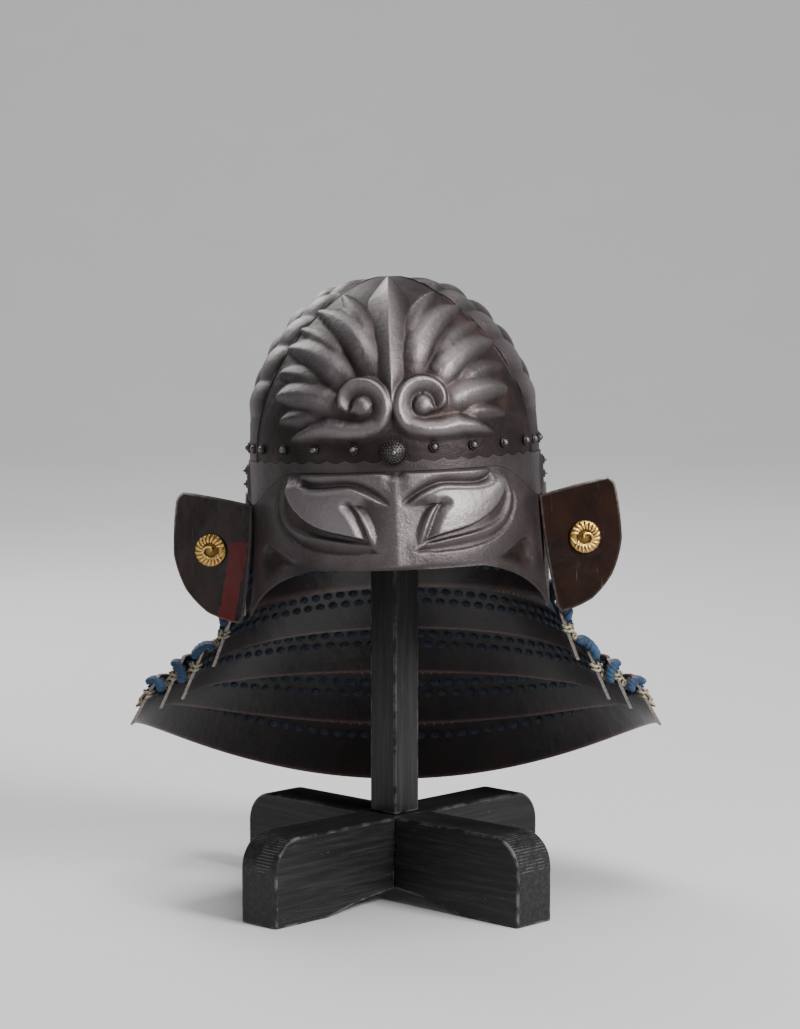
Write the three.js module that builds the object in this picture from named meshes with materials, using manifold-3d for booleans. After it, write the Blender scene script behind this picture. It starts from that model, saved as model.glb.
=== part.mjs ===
// A samurai helmet (kabuto) on its crossed wooden stand, in millimetres, +Z up, facing -Y.
// The helmet has an embossed iron bowl in three plates, a brow band, an embossed visor,
// riveted rosettes, two turned-back plates with gilt crests and a neck guard of five lames
// laced with silk. It rests on a post that rises from two half-lapped beams.
import * as THREE from "three";
import { mergeVertices } from "three/addons/utils/BufferGeometryUtils.js";
import Module from "manifold-3d";

const wasm = await Module();
wasm.setup();

// Driving sizes in millimetres, with angles in degrees.

const CLEARANCE = 0.3;

const BEAM_LENGTH = 280;
const BEAM_WIDTH = 36.2;
const BEAM_HEIGHT = 64;
const BEAM_END_ROUND = 24;
const BEAM_TURN = 44;
const ARCH_RISE = 10.7;
const FOOT_LENGTH = 54;
const POST_SIDE = 25.8;
const REST_RADIUS = 38;
const REST_DEPTH = 26;
const MORTISE_DEPTH = 14;

const WAIST_HEIGHT = 334;
const TILT_BACK = 2;
const LEAN = 2.1;

const BOWL_HALF_WIDTH = 107;
const BOWL_FRONT = 125;
const BOWL_REAR = 116;
const BOWL_HEIGHT = 128;
const BOWL_WALL = 2.4;
const FRONT_PLATE_LIFT = 1.2;
const FRONT_PLATE_CROWN_ANGLE = 42;
const FRONT_PLATE_WAIST_ANGLE = 67;
const SCALLOP_DEPTH = 2.2;
const SCALLOPS = 18;
const GORES = 3;
const RELIEF_HEIGHT = 6.5;

const BAND_DEPTH = 34;
const BAND_PROUD = 1;
const BAND_WALL = 2.2;

const VISOR_END_ANGLE = 74;
const VISOR_TOP_DROP = 9;
const VISOR_CENTRE_DROP = 77;
const VISOR_TIP_DROP = 115;
const VISOR_SIDE_FLARE = 6;
const VISOR_FRONT_FLARE = 15;
const VISOR_WALL = 2.2;
const VISOR_RELIEF = 6.5;

const RIVET_RADIUS = 4;
const RIVET_HEIGHT = 3.6;
const RIVET_LINE = 7.3;
const ROSETTE_RADIUS = 9.8;
const ROSETTE_HEIGHT = 6.5;
const ROSETTE_LINE = 4.3;
const SIDE_ROSETTE_RADIUS = 4.6;
const SIDE_ROSETTE_HEIGHT = 4.2;

const GUARD_HALF_WIDTH = 195;
const GUARD_REACH = 201;
const GUARD_DROP_REAR = 275;
const GUARD_DROP_END = 203;
const LAME_HEIGHT = 54;
const LAME_WALL = 2.4;
const LACE_THICKNESS = 2.2;
const LACE_SEAT = 0.9;
const NEST_SPARE = 1.6;
const TOP_LAME_HEAD_DROP = 27;
const TOP_LAME_SEAT = 0.9;

const TURN_BACK_WIDTH = 63;
const TURN_BACK_HEIGHT = 98;
const TURN_BACK_WALL = 2.2;
const TURN_BACK_SWEEP = 14;
const CREST_RADIUS = 12.1;
const CREST_THICKNESS = 3;

// Hand-chosen shares of the sizes above.

// Scroll and leaves of the front plate: across is a share of BOWL_HALF_WIDTH, up a share of
// BOWL_HEIGHT, half a share of BOWL_HALF_WIDTH, rise a share of RELIEF_HEIGHT.
const LEAVES = [
  { tipAcross: 0.31, tipUp: 0.895, rootAcross: 0.13, rootUp: 0.6, half: 0.062, bow: 0.08, rise: 0.6 },
  { tipAcross: 0.48, tipUp: 0.8, rootAcross: 0.13, rootUp: 0.47, half: 0.085, bow: 0.16, rise: 0.95 },
  { tipAcross: 0.6, tipUp: 0.71, rootAcross: 0.33, rootUp: 0.54, half: 0.055, bow: 0.1, rise: 0.6 },
  { tipAcross: 0.68, tipUp: 0.6, rootAcross: 0.3, rootUp: 0.4, half: 0.085, bow: 0.14, rise: 0.95 },
  { tipAcross: 0.74, tipUp: 0.47, rootAcross: 0.46, rootUp: 0.4, half: 0.055, bow: 0.08, rise: 0.6 },
  { tipAcross: 0.76, tipUp: 0.34, rootAcross: 0.36, rootUp: 0.28, half: 0.08, bow: 0.1, rise: 0.95 },
  { tipAcross: 0.74, tipUp: 0.21, rootAcross: 0.48, rootUp: 0.23, half: 0.045, bow: 0.05, rise: 0.6 },
];
const TAIL_LEAF = [
  { across: 0.03, up: 0.24, half: 0.04, rise: 0.6 },
  { across: 0.12, up: 0.165, half: 0.05, rise: 0.8 },
  { across: 0.25, up: 0.155, half: 0.055, rise: 1.0 },
  { across: 0.38, up: 0.17, half: 0.07, rise: 0.9 },
  { across: 0.52, up: 0.155, half: 0.055, rise: 0.7 },
  { across: 0.66, up: 0.12, half: 0.004, rise: 0.2 },
];
const SCROLL = {
  across: 0.198, up: 0.284, boss: 0.055, bossRise: 1.1, start: 0.075, grow: 0.085, half: 0.046,
  turns: 1.2, firstTurn: 0.06,
};
const BLADE = [
  { up: 0.985, half: 0.02 },
  { up: 0.86, half: 0.135 },
  { up: 0.72, half: 0.14 },
  { up: 0.56, half: 0.12 },
  { up: 0.46, half: 0.09 },
  { up: 0.29, half: 0.004 },
];
const BLADE_RIDGE = { rise: 0.85, fade: 0.12 };
const GORE = { rise: 0.45, ridgeRise: 0.2, ridgeHalf: 0.08, fadeAtCrown: 0.3, fadeAtBorder: 0.2 };

// Relief strokes of the visor: across is a share of BOWL_HALF_WIDTH, down a share of
// VISOR_CENTRE_DROP, half a share of BOWL_HALF_WIDTH, rise a share of VISOR_RELIEF.
const VISOR_STROKES = {
  lid: [
    { across: 0.64, down: 0.16, half: 0.035, rise: 0.3 },
    { across: 0.52, down: 0.2, half: 0.06, rise: 0.9 },
    { across: 0.38, down: 0.18, half: 0.06, rise: 0.85 },
    { across: 0.24, down: 0.22, half: 0.06, rise: 0.8 },
    { across: 0.09, down: 0.32, half: 0.03, rise: 0.3 },
  ],
  eye: [
    { across: 0.68, down: 0.36, half: 0.06, rise: 0.5 },
    { across: 0.58, down: 0.48, half: 0.1, rise: 0.95 },
    { across: 0.42, down: 0.52, half: 0.13, rise: 1.0 },
    { across: 0.27, down: 0.54, half: 0.1, rise: 0.6 },
  ],
  underLid: [
    { across: 0.73, down: 0.4, half: 0.025, rise: 0.5 },
    { across: 0.69, down: 0.62, half: 0.035, rise: 0.8 },
    { across: 0.55, down: 0.72, half: 0.035, rise: 0.8 },
    { across: 0.35, down: 0.75, half: 0.03, rise: 0.7 },
    { across: 0.2, down: 0.76, half: 0.02, rise: 0.3 },
  ],
  crescent: [
    { across: 0.28, down: 0.42, half: 0.015, rise: 0.4 },
    { across: 0.19, down: 0.52, half: 0.045, rise: 0.9 },
    { across: 0.15, down: 0.66, half: 0.04, rise: 0.9 },
    { across: 0.15, down: 0.8, half: 0.025, rise: 0.4 },
  ],
};
const CHEEK_HOLLOW = { across: 0.84, down: 0.92, half: 0.1, upright: 0.7, sink: 0.5 };
const NOSE_RIDGE = { half: 0.06, rise: 0.3 };

// Shares of the visor's half width where its top line starts down to the cheeks and where its
// bottom edge starts down to the tips, and the part of that last fall that is straight.
const VISOR_LINES = { shoulder: 0.55, cheek: 0.42, straight: 0.35 };
const VISOR_PLAIN_EDGE = { rows: 0.08, columns: 0.03 };

// Outline of a turned-back plate from its inner top corner: across is a share of
// TURN_BACK_WIDTH, up of TURN_BACK_HEIGHT, and bulge says how far the side that ends there
// swells, as a share of its length.
const TURN_BACK_OUTLINE = [
  { across: 0, up: 0, bulge: 0.032 },
  { across: 0.84, up: 0.112, bulge: 0.02 },
  { across: 0.94, up: 0.03, bulge: 0.25 },
  { across: 0.99, up: -0.36, bulge: 0.04 },
  { across: 0.86, up: -0.62, bulge: 0.08 },
  { across: 0.6, up: -0.8, bulge: 0.08 },
  { across: 0.22, up: -0.886, bulge: 0.07 },
  { across: 0.16, up: -0.8, bulge: 0.15 },
];
const CREST_PLACE = { across: 0.53, up: -0.33 };

// Profiles of the turned studs, as shares of their radius and height.
const DOME_PROFILE = [
  { radius: 1, height: 0 },
  { radius: 0.9, height: 0.4 },
  { radius: 0.3, height: 1 },
];
const BEADED_PROFILE = [
  { radius: 1, height: 0 },
  { radius: 1, height: 0.3 },
  { radius: 0.72, height: 0.5 },
  { radius: 0.62, height: 0.42 },
  { radius: 0.4, height: 0.9 },
];

// Azimuths of the rivets on one side, in degrees from the centre of the brow.
const RIVET_AZIMUTHS = [15.2, 31, 46, 60.5, 70.5, 80, 98, 118, 138, 158];
const SIDE_ROSETTES = [
  { azimuth: 88, drop: 0.3 },
  { azimuth: 88, drop: 0.59 },
];

// One row for each lame from the top. spread and reach are shares of GUARD_HALF_WIDTH and
// GUARD_REACH, dropEnd and dropRear of GUARD_DROP_END and GUARD_DROP_REAR, tallEnd and
// tallRear of LAME_HEIGHT. start is the azimuth of its front ends in degrees, slopeEnd the
// outward lean of its sides and swing its share of the lean that is taken back. laceEnd and
// laceRear say how far up the lame its lower lacing leaves it.
const LAMES = [
  {
    spread: 0.575, reach: 0.65, dropEnd: 0.575, dropRear: 0.411,
    start: 81, swing: 0, laceEnd: 0.16, laceRear: 0.28,
  },
  {
    spread: 0.69, reach: 0.745, dropEnd: 0.767, dropRear: 0.535, tallEnd: 0.67, tallRear: 0.89,
    slopeEnd: 0.43, start: 82, swing: 0.5, laceEnd: 0.5, laceRear: 0.45,
  },
  {
    spread: 0.806, reach: 0.84, dropEnd: 0.9, dropRear: 0.669, tallEnd: 0.68, tallRear: 0.93,
    slopeEnd: 0.43, start: 84, swing: 1, laceEnd: 0.56, laceRear: 0.45,
  },
  {
    spread: 0.888, reach: 0.928, dropEnd: 0.936, dropRear: 0.829, tallEnd: 0.7, tallRear: 1.0,
    slopeEnd: 0.45, start: 86, swing: 1, laceEnd: 0.56, laceRear: 0.45,
  },
  {
    spread: 1, reach: 1, dropEnd: 1, dropRear: 1, tallEnd: 0.68, tallRear: 1.07,
    slopeEnd: 0.55, start: 88, swing: 1,
  },
];
// Shares of a lame's height: where the silk lies on its face, where the silk from above is
// held in its head, and the least fall before that silk bends away.
const LACED_FACE = { low: 0.62, high: 0.8 };
const LACE_HOLD = 0.6;
const LACE_BEND = 0.05;

// Columns and rows of the faceted walls. Plates that meet share them. The lacing stops one
// column short of each end of its lame.
const BOWL_ROWS = 18;
const REAR_PLATE_COLUMNS = 4 * GORES;
const VISOR_COLUMNS = 34;
const VISOR_ROWS = 10;
const BAND_COLUMNS = 60;
const GUARD_COLUMNS = 28;
const LACE_COLUMNS = GUARD_COLUMNS - 2;
const REST_SIDES = 20;
const REST_RINGS = 5;

const radians = THREE.MathUtils.degToRad;
const clamp = THREE.MathUtils.clamp;
const mix = THREE.MathUtils.lerp;
const smooth = (share) => THREE.MathUtils.smoothstep(share, 0, 1);

// Closed meshes

// Merges a triangle soup, drops its empty triangles and turns its faces outwards.
function closedGeometry(positions, triangles) {
  const raw = new THREE.BufferGeometry();
  raw.setAttribute("position", new THREE.Float32BufferAttribute(positions, 3));
  raw.setIndex(triangles);
  const merged = mergeVertices(raw, 1e-3);
  const index = merged.index.array;
  const kept = [];
  for (let i = 0; i < index.length; i += 3) {
    const [a, b, c] = [index[i], index[i + 1], index[i + 2]];
    if (a !== b && b !== c && c !== a) kept.push(a, b, c);
  }
  const place = merged.attributes.position;
  const corner = (k) => new THREE.Vector3().fromBufferAttribute(place, k);
  let volume = 0;
  for (let i = 0; i < kept.length; i += 3) {
    volume += corner(kept[i]).dot(corner(kept[i + 1]).cross(corner(kept[i + 2])));
  }
  if (volume < 0) kept.reverse();
  merged.setIndex(kept);
  merged.computeVertexNormals();
  return merged;
}

// A three.js geometry as one closed mesh, without its normals and texture coordinates.
function closed(geometry) {
  const positions = [...geometry.attributes.position.array];
  const corners = positions.slice(0, positions.length / 3).map((_, k) => k);
  return closedGeometry(positions, geometry.index ? [...geometry.index.array] : corners);
}

// A wall between two surfaces: outside and inside give a point from two shares, across and
// down. A ring closes on itself across.
function wall(columns, rows, outside, inside, ring = false) {
  const positions = [];
  const triangles = [];
  const wide = columns + 1;
  for (const surface of [outside, inside]) {
    for (let j = 0; j <= rows; j++) {
      for (let i = 0; i <= columns; i++) {
        const across = ring && i === columns ? 0 : i / columns;
        positions.push(...surface(across, j / rows).toArray());
      }
    }
  }
  const layer = wide * (rows + 1);
  const at = (side, i, j) => side * layer + j * wide + i;
  const quad = (a, b, c, d) => triangles.push(a, b, c, a, c, d);
  for (let j = 0; j < rows; j++) {
    for (let i = 0; i < columns; i++) {
      quad(at(0, i, j), at(0, i + 1, j), at(0, i + 1, j + 1), at(0, i, j + 1));
      quad(at(1, i, j), at(1, i, j + 1), at(1, i + 1, j + 1), at(1, i + 1, j));
    }
    if (!ring) {
      quad(at(0, 0, j), at(0, 0, j + 1), at(1, 0, j + 1), at(1, 0, j));
      quad(at(0, columns, j), at(1, columns, j), at(1, columns, j + 1), at(0, columns, j + 1));
    }
  }
  for (let i = 0; i < columns; i++) {
    quad(at(0, i, 0), at(1, i, 0), at(1, i + 1, 0), at(0, i + 1, 0));
    quad(at(0, i, rows), at(0, i + 1, rows), at(1, i + 1, rows), at(1, i, rows));
  }
  return closedGeometry(positions, triangles);
}

function solidOf(geometry) {
  const bare = new THREE.BufferGeometry();
  bare.setAttribute("position", geometry.attributes.position);
  bare.setIndex(geometry.index);
  const merged = mergeVertices(bare, 1e-4);
  return new wasm.Manifold(
    new wasm.Mesh({
      numProp: 3,
      vertProperties: new Float32Array(merged.attributes.position.array),
      triVerts: new Uint32Array(merged.index.array),
    }),
  );
}

function geometryOf(solid) {
  const mesh = solid.getMesh();
  const geometry = new THREE.BufferGeometry();
  geometry.setAttribute("position", new THREE.BufferAttribute(mesh.vertProperties, 3));
  geometry.setIndex(new THREE.BufferAttribute(mesh.triVerts, 1));
  geometry.computeVertexNormals();
  return geometry;
}

// Surfaces of the helmet, in its own frame: the origin is the middle of the bowl's waist.

// A point of a level egg-shaped plan. Azimuth 0 is the brow and grows towards +X.
function planPoint(azimuth, halfWidth, front, rear, z) {
  const reach = Math.cos(azimuth) > 0 ? front : rear;
  return new THREE.Vector3(halfWidth * Math.sin(azimuth), -reach * Math.cos(azimuth), z);
}

// A point of the bowl, proud of its plain surface by lift. Polar 0 is the crown.
function bowlPoint(azimuth, polar, lift) {
  const ring = Math.sin(polar);
  return planPoint(
    azimuth,
    (BOWL_HALF_WIDTH + lift) * ring,
    (BOWL_FRONT + lift) * ring,
    (BOWL_REAR + lift) * ring,
    (BOWL_HEIGHT + lift) * Math.cos(polar),
  );
}

// Height of a rounded stroke that runs through stations, at one point of the plate.
function strokeHeight(stations, x, z) {
  let best = 0;
  for (let k = 1; k < stations.length; k++) {
    const a = stations[k - 1];
    const b = stations[k];
    const [dx, dz] = [b.x - a.x, b.z - a.z];
    const along = clamp(((x - a.x) * dx + (z - a.z) * dz) / (dx * dx + dz * dz), 0, 1);
    const off = Math.hypot(x - a.x - along * dx, z - a.z - along * dz) / mix(a.half, b.half, along);
    if (off < 1) best = Math.max(best, mix(a.rise, b.rise, along) * Math.sqrt(1 - off * off));
  }
  return best;
}

const frontStation = (row) => ({
  x: row.across * BOWL_HALF_WIDTH,
  z: row.up * BOWL_HEIGHT,
  half: row.half * BOWL_HALF_WIDTH,
  rise: row.rise * RELIEF_HEIGHT,
});

// A pointed leaf that bows away from the straight line between its root and its tip.
function leafStations(leaf) {
  const stations = [];
  const [dx, dz] = [leaf.tipAcross - leaf.rootAcross, leaf.tipUp - leaf.rootUp];
  for (const along of [0, 0.3, 0.6, 0.85, 1]) {
    const bend = leaf.bow * 4 * along * (1 - along);
    stations.push(
      frontStation({
        across: leaf.rootAcross + dx * along - dz * bend,
        up: leaf.rootUp + dz * along + dx * bend,
        half: leaf.half * Math.sqrt(Math.sin(Math.PI * mix(0.2, 0.999, along))),
        rise: leaf.rise,
      }),
    );
  }
  return stations;
}

const LEAF_STROKES = LEAVES.map(leafStations);
const TAIL_STROKE = TAIL_LEAF.map(frontStation);

// The rolled scroll: a boss with a spiral rib round it, wound clockwise from its inner tip.
function scrollHeight(x, z) {
  const dx = x - SCROLL.across * BOWL_HALF_WIDTH;
  const dz = z - SCROLL.up * BOWL_HEIGHT;
  const radius = Math.hypot(dx, dz) / BOWL_HALF_WIDTH;
  const off = radius / SCROLL.boss;
  let best = off < 1 ? RELIEF_HEIGHT * SCROLL.bossRise * Math.sqrt(1 - off * off) : 0;
  const turn = (Math.atan2(dz, dx) / (2 * Math.PI) + 1 + SCROLL.firstTurn) % 1;
  for (let whole = 0; whole < 2; whole++) {
    const wound = turn + whole;
    if (wound > SCROLL.turns) continue;
    const across = (radius - SCROLL.start - SCROLL.grow * wound) / SCROLL.half;
    if (Math.abs(across) < 1) best = Math.max(best, RELIEF_HEIGHT * Math.sqrt(1 - across * across));
  }
  return best;
}

// The ridged blade that runs down the middle from the crown.
function bladeHeight(x, z) {
  const up = z / BOWL_HEIGHT;
  for (let k = 1; k < BLADE.length; k++) {
    const [a, b] = [BLADE[k - 1], BLADE[k]];
    if (up <= a.up && up >= b.up) {
      const half = mix(a.half, b.half, (a.up - up) / (a.up - b.up)) * BOWL_HALF_WIDTH;
      const fade = smooth(clamp((1 - up) / BLADE_RIDGE.fade, 0, 1));
      return RELIEF_HEIGHT * BLADE_RIDGE.rise * fade * Math.max(0, 1 - x / half);
    }
  }
  return 0;
}

// Height of the front plate's relief: every form is the same on both sides.
function frontRelief(point) {
  const [x, z] = [Math.abs(point.x), point.z];
  const leaves = LEAF_STROKES.map((stations) => strokeHeight(stations, x, z));
  return Math.max(bladeHeight(x, z), scrollHeight(x, z), strokeHeight(TAIL_STROKE, x, z), ...leaves);
}

function visorStations(rows) {
  return rows.map((row) => ({
    x: row.across * BOWL_HALF_WIDTH,
    z: -row.down * VISOR_CENTRE_DROP,
    half: row.half * BOWL_HALF_WIDTH,
    rise: row.rise * VISOR_RELIEF,
  }));
}

const VISOR_FORMS = Object.values(VISOR_STROKES).map(visorStations);

function visorRelief(point) {
  const [x, z] = [Math.abs(point.x), point.z];
  const raised = Math.max(...VISOR_FORMS.map((stations) => strokeHeight(stations, x, z)));
  const off =
    Math.hypot(
      x - CHEEK_HOLLOW.across * BOWL_HALF_WIDTH,
      (z + CHEEK_HOLLOW.down * VISOR_CENTRE_DROP) * CHEEK_HOLLOW.upright,
    ) /
    (CHEEK_HOLLOW.half * BOWL_HALF_WIDTH);
  const sunk = off < 1 ? CHEEK_HOLLOW.sink * VISOR_RELIEF * Math.sqrt(1 - off * off) : 0;
  const offRidge = x / (NOSE_RIDGE.half * BOWL_HALF_WIDTH);
  const ridge = VISOR_RELIEF * NOSE_RIDGE.rise * Math.max(0, 1 - offRidge);
  return Math.max(raised, ridge) - sunk;
}

// How far the scalloped lower edge of the front plate hangs below the waist.
const scallop = (across) => SCALLOP_DEPTH * Math.abs(Math.cos(Math.PI * SCALLOPS * across));

// The line where the visor meets the brow band, as a drop below the waist.
function visorTop(azimuth) {
  const out = Math.abs(azimuth) / radians(VISOR_END_ANGLE);
  const fall = (out - VISOR_LINES.shoulder) / (1 - VISOR_LINES.shoulder);
  return -mix(VISOR_TOP_DROP, BAND_DEPTH, smooth(clamp(fall, 0, 1)));
}

function visorBottom(azimuth) {
  const out = Math.abs(azimuth) / radians(VISOR_END_ANGLE);
  const fall = clamp((out - VISOR_LINES.cheek) / (1 - VISOR_LINES.cheek), 0, 1);
  return -mix(VISOR_CENTRE_DROP, VISOR_TIP_DROP, fall * mix(fall, 1, VISOR_LINES.straight));
}

// The last row of the bowl's plates is the plain border that carries the rivets.
const BORDER_POLAR = Math.acos((RIVET_LINE + RIVET_RADIUS) / BOWL_HEIGHT);
const bowlPolar = (down) =>
  down === 1 ? Math.PI / 2 : (BORDER_POLAR * down * BOWL_ROWS) / (BOWL_ROWS - 1);

// Azimuth of the seam between the front plate and a rear one.
const seam = (polar) =>
  radians(mix(FRONT_PLATE_CROWN_ANGLE, FRONT_PLATE_WAIST_ANGLE, smooth(polar / (Math.PI / 2))));

function frontPlate() {
  const point = (across, down, inset) => {
    const polar = bowlPolar(down);
    const azimuth = (2 * across - 1) * seam(polar);
    const plain = bowlPoint(azimuth, polar, 0);
    const edge = smooth(clamp((plain.z - RIVET_LINE - RIVET_RADIUS) / RELIEF_HEIGHT, 0, 1));
    const raised = bowlPoint(azimuth, polar, FRONT_PLATE_LIFT + frontRelief(plain) * edge - inset);
    if (down === 1) raised.z -= scallop(across);
    return raised;
  };
  return wall(2 * SCALLOPS, BOWL_ROWS, (a, d) => point(a, d, 0), (a, d) => point(a, d, BOWL_WALL));
}

// side is 1 for the plate on +X and -1 for its twin.
function rearPlate(side) {
  const crown = 1 / BOWL_HALF_WIDTH;
  const point = (across, down, lift) => {
    const polar = Math.max(crown, bowlPolar(down));
    const radius = BOWL_REAR * Math.sin(polar);
    const gap = Math.asin(Math.min(1, CLEARANCE / radius));
    const azimuth = mix(seam(polar) + gap, Math.PI - gap / 2, across);
    const raised = bowlPoint(side * azimuth, polar, lift + rearRelief(across, polar / BORDER_POLAR));
    if (down === 1) raised.z -= SCALLOP_DEPTH;
    return raised;
  };
  const [outside, inside] = [0, -BOWL_WALL].map((lift) => (a, d) => point(a, d, lift));
  return wall(REAR_PLATE_COLUMNS, BOWL_ROWS, outside, inside);
}

// Rounded gores that radiate from the crown, and a low ridge where the two plates meet.
function rearRelief(across, down) {
  const gore = Math.abs(Math.sin(GORES * Math.PI * across));
  const ridge = Math.max(0, 1 - (1 - across) / GORE.ridgeHalf);
  const swell = smooth(down / GORE.fadeAtCrown) * smooth((1 - down) / GORE.fadeAtBorder);
  return RELIEF_HEIGHT * swell * (GORE.rise * gore + GORE.ridgeRise * ridge);
}

// The part of the band above the visor has the visor's columns, so that they match.
function browBand() {
  const end = radians(VISOR_END_ANGLE);
  const point = (across, down, inset) => {
    const column = (2 * across - 1) * BAND_COLUMNS;
    const past = Math.max(0, Math.abs(column) - VISOR_COLUMNS) / (BAND_COLUMNS - VISOR_COLUMNS);
    const ahead = (Math.min(Math.abs(column), VISOR_COLUMNS) / VISOR_COLUMNS) * end;
    const azimuth = Math.sign(column) * mix(ahead, Math.PI, past);
    const top = -SCALLOP_DEPTH - CLEARANCE;
    const low = past > 0 ? -BAND_DEPTH : visorTop(azimuth) + CLEARANCE;
    const out = BAND_PROUD - inset;
    const rim = mix(top, low, down);
    return planPoint(azimuth, BOWL_HALF_WIDTH + out, BOWL_FRONT + out, BOWL_REAR + out, rim);
  };
  return wall(BAND_COLUMNS, 1, (a, d) => point(a, d, 0), (a, d) => point(a, d, BAND_WALL), true);
}

function visor() {
  const point = (across, down, inset) => {
    const azimuth = (2 * across - 1) * radians(VISOR_END_ANGLE);
    const z = mix(visorTop(azimuth), visorBottom(azimuth), down);
    const at = (lift) =>
      planPoint(
        azimuth,
        BOWL_HALF_WIDTH + BAND_PROUD + VISOR_SIDE_FLARE * down * down + lift,
        BOWL_FRONT + BAND_PROUD + VISOR_FRONT_FLARE * down + lift,
        BOWL_REAR,
        z,
      );
    const { rows, columns } = VISOR_PLAIN_EDGE;
    const edge = Math.min(down / rows, (1 - down) / rows, across / columns, (1 - across) / columns);
    return at(visorRelief(at(0)) * smooth(clamp(edge, 0, 1)) - inset);
  };
  const [outside, inside] = [0, VISOR_WALL].map((inset) => (a, d) => point(a, d, inset));
  return wall(VISOR_COLUMNS, VISOR_ROWS, outside, inside);
}

// Rivets and rosettes are turned round +Z, then laid against the wall that carries them.
function stud(radius, height, sides, profile) {
  const points = [new THREE.Vector2(0, 0)];
  points.push(...profile.map((row) => new THREE.Vector2(row.radius * radius, row.height * height)));
  points.push(new THREE.Vector2(0, height));
  return closed(new THREE.LatheGeometry(points, sides).rotateX(Math.PI / 2));
}

// Seats a piece that stands on +Z on the waist wall, at an azimuth and a height.
function seatOnWall(mesh, azimuth, lift, z) {
  const place = planPoint(azimuth, BOWL_HALF_WIDTH + lift, BOWL_FRONT + lift, BOWL_REAR + lift, z);
  const reach = Math.cos(azimuth) > 0 ? BOWL_FRONT : BOWL_REAR;
  const outward = new THREE.Vector3(
    Math.sin(azimuth) / BOWL_HALF_WIDTH,
    -Math.cos(azimuth) / reach,
    0,
  ).normalize();
  mesh.quaternion.setFromUnitVectors(new THREE.Vector3(0, 0, 1), outward);
  mesh.position.copy(place.addScaledVector(outward, CLEARANCE));
  return mesh;
}

// The neck guard

// How far round a lame goes, from its right front end (0) past the back to its left end (1).
const roundness = (along) => (1 - Math.cos(Math.PI * (2 * Math.min(along, 1 - along)) ** 0.9)) / 2;

// The guard hangs plumb from its head although the bowl leans, and swing is the share of the
// lean by which a lame is brought back to level.
function hang(point, swing) {
  const lean = Math.tan(radians(LEAN));
  const level = point.z - swing * lean * point.x;
  return new THREE.Vector3(point.x + lean * (point.z + TOP_LAME_HEAD_DROP), point.y, level);
}

// Slope of a lame that leaves room for the lacing between it and the lame above, both at the
// rim of the lame above and at its own head.
function nestedSlope(wide, tall, above, wideAbove, slopeAbove, low) {
  const nest = LAME_WALL + LACE_THICKNESS + 2 * LACE_SEAT + NEST_SPARE;
  const pitch = low - above.low;
  const atRim = (wide - wideAbove - nest) / pitch;
  const atHead = (wide - wideAbove + slopeAbove * (tall - pitch) - nest) / tall;
  return Math.min(atRim, atHead);
}

// Bottom edge, height and slopes of a lame at one place along it.
function lameSection(k, along) {
  const lame = LAMES[k];
  const back = roundness(along);
  const spread = lame.spread * GUARD_HALF_WIDTH;
  const reach = lame.reach * GUARD_REACH;
  const low = mix(lame.dropEnd * GUARD_DROP_END, lame.dropRear * GUARD_DROP_REAR, back);
  if (k === 0) {
    const tall = low - TOP_LAME_HEAD_DROP;
    const seat = BAND_PROUD + TOP_LAME_SEAT;
    const sideSlope = (spread - BOWL_HALF_WIDTH - seat) / tall;
    return { spread, reach, low, tall, sideSlope, rearSlope: (reach - BOWL_REAR - seat) / tall };
  }
  const tall = mix(lame.tallEnd, lame.tallRear, back) * LAME_HEIGHT;
  const above = lameSection(k - 1, along);
  const sideSlope = nestedSlope(spread, tall, above, above.spread, above.sideSlope, low);
  const rearSlope = nestedSlope(reach, tall, above, above.reach, above.rearSlope, low);
  return { spread, reach, low, tall, sideSlope: Math.min(lame.slopeEnd, sideSlope), rearSlope };
}

// A point of a lame: up is 0 at its bottom edge and 1 at its head, out is the distance
// outwards from its inner face.
function lamePoint(k, along, up, out) {
  const section = lameSection(k, along);
  const azimuth = mix(radians(LAMES[k].start), 2 * Math.PI - radians(LAMES[k].start), along);
  const rise = section.tall * up;
  const spread = section.spread - section.sideSlope * rise + out;
  const reach = section.reach - section.rearSlope * rise + out;
  return planPoint(azimuth, spread, spread, reach, rise - section.low);
}

function lame(k) {
  return wall(
    GUARD_COLUMNS,
    1,
    (along, down) => hang(lamePoint(k, along, 1 - down, LAME_WALL), LAMES[k].swing),
    (along, down) => hang(lamePoint(k, along, 1 - down, 0), LAMES[k].swing),
  );
}

const laceAlong = (along) => (1 + along * LACE_COLUMNS) / GUARD_COLUMNS;

// The rows of silk that lie on the outer face of a lame, under its head.
function headLacing(k) {
  const face = (along, down, out) => {
    const up = mix(LACED_FACE.high, LACED_FACE.low, down);
    return hang(lamePoint(k, laceAlong(along), up, LAME_WALL + out), LAMES[k].swing);
  };
  return wall(
    LACE_COLUMNS,
    1,
    (along, down) => face(along, down, LACE_SEAT + LACE_THICKNESS),
    (along, down) => face(along, down, LACE_SEAT),
  );
}

// The silk that runs from a lame into the head of the one below it: it follows the lame down
// to the level of that head, and then goes across to the head's inner face.
function fallingLacing(k) {
  const strand = (along, down, out) => {
    const place = laceAlong(along);
    const [here, below] = [lameSection(k, place), lameSection(k + 1, place)];
    const leave = mix(LAMES[k].laceEnd, LAMES[k].laceRear, roundness(place));
    const headLevel = (below.tall - below.low + here.low) / here.tall;
    const bend = clamp(headLevel, 0, leave - LACE_BEND);
    const up = mix(leave, bend, Math.min(1, 2 * down));
    const upper = hang(lamePoint(k, place, up, LAME_WALL + LACE_SEAT + out), LAMES[k].swing);
    const held = lamePoint(k + 1, place, LACE_HOLD, out - LACE_THICKNESS - LACE_SEAT);
    return upper.lerp(hang(held, LAMES[k + 1].swing), Math.max(0, 2 * down - 1));
  };
  return wall(
    LACE_COLUMNS,
    2,
    (along, down) => strand(along, down, LACE_THICKNESS),
    (along, down) => strand(along, down, 0),
  );
}

// The turned-back plates

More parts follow.
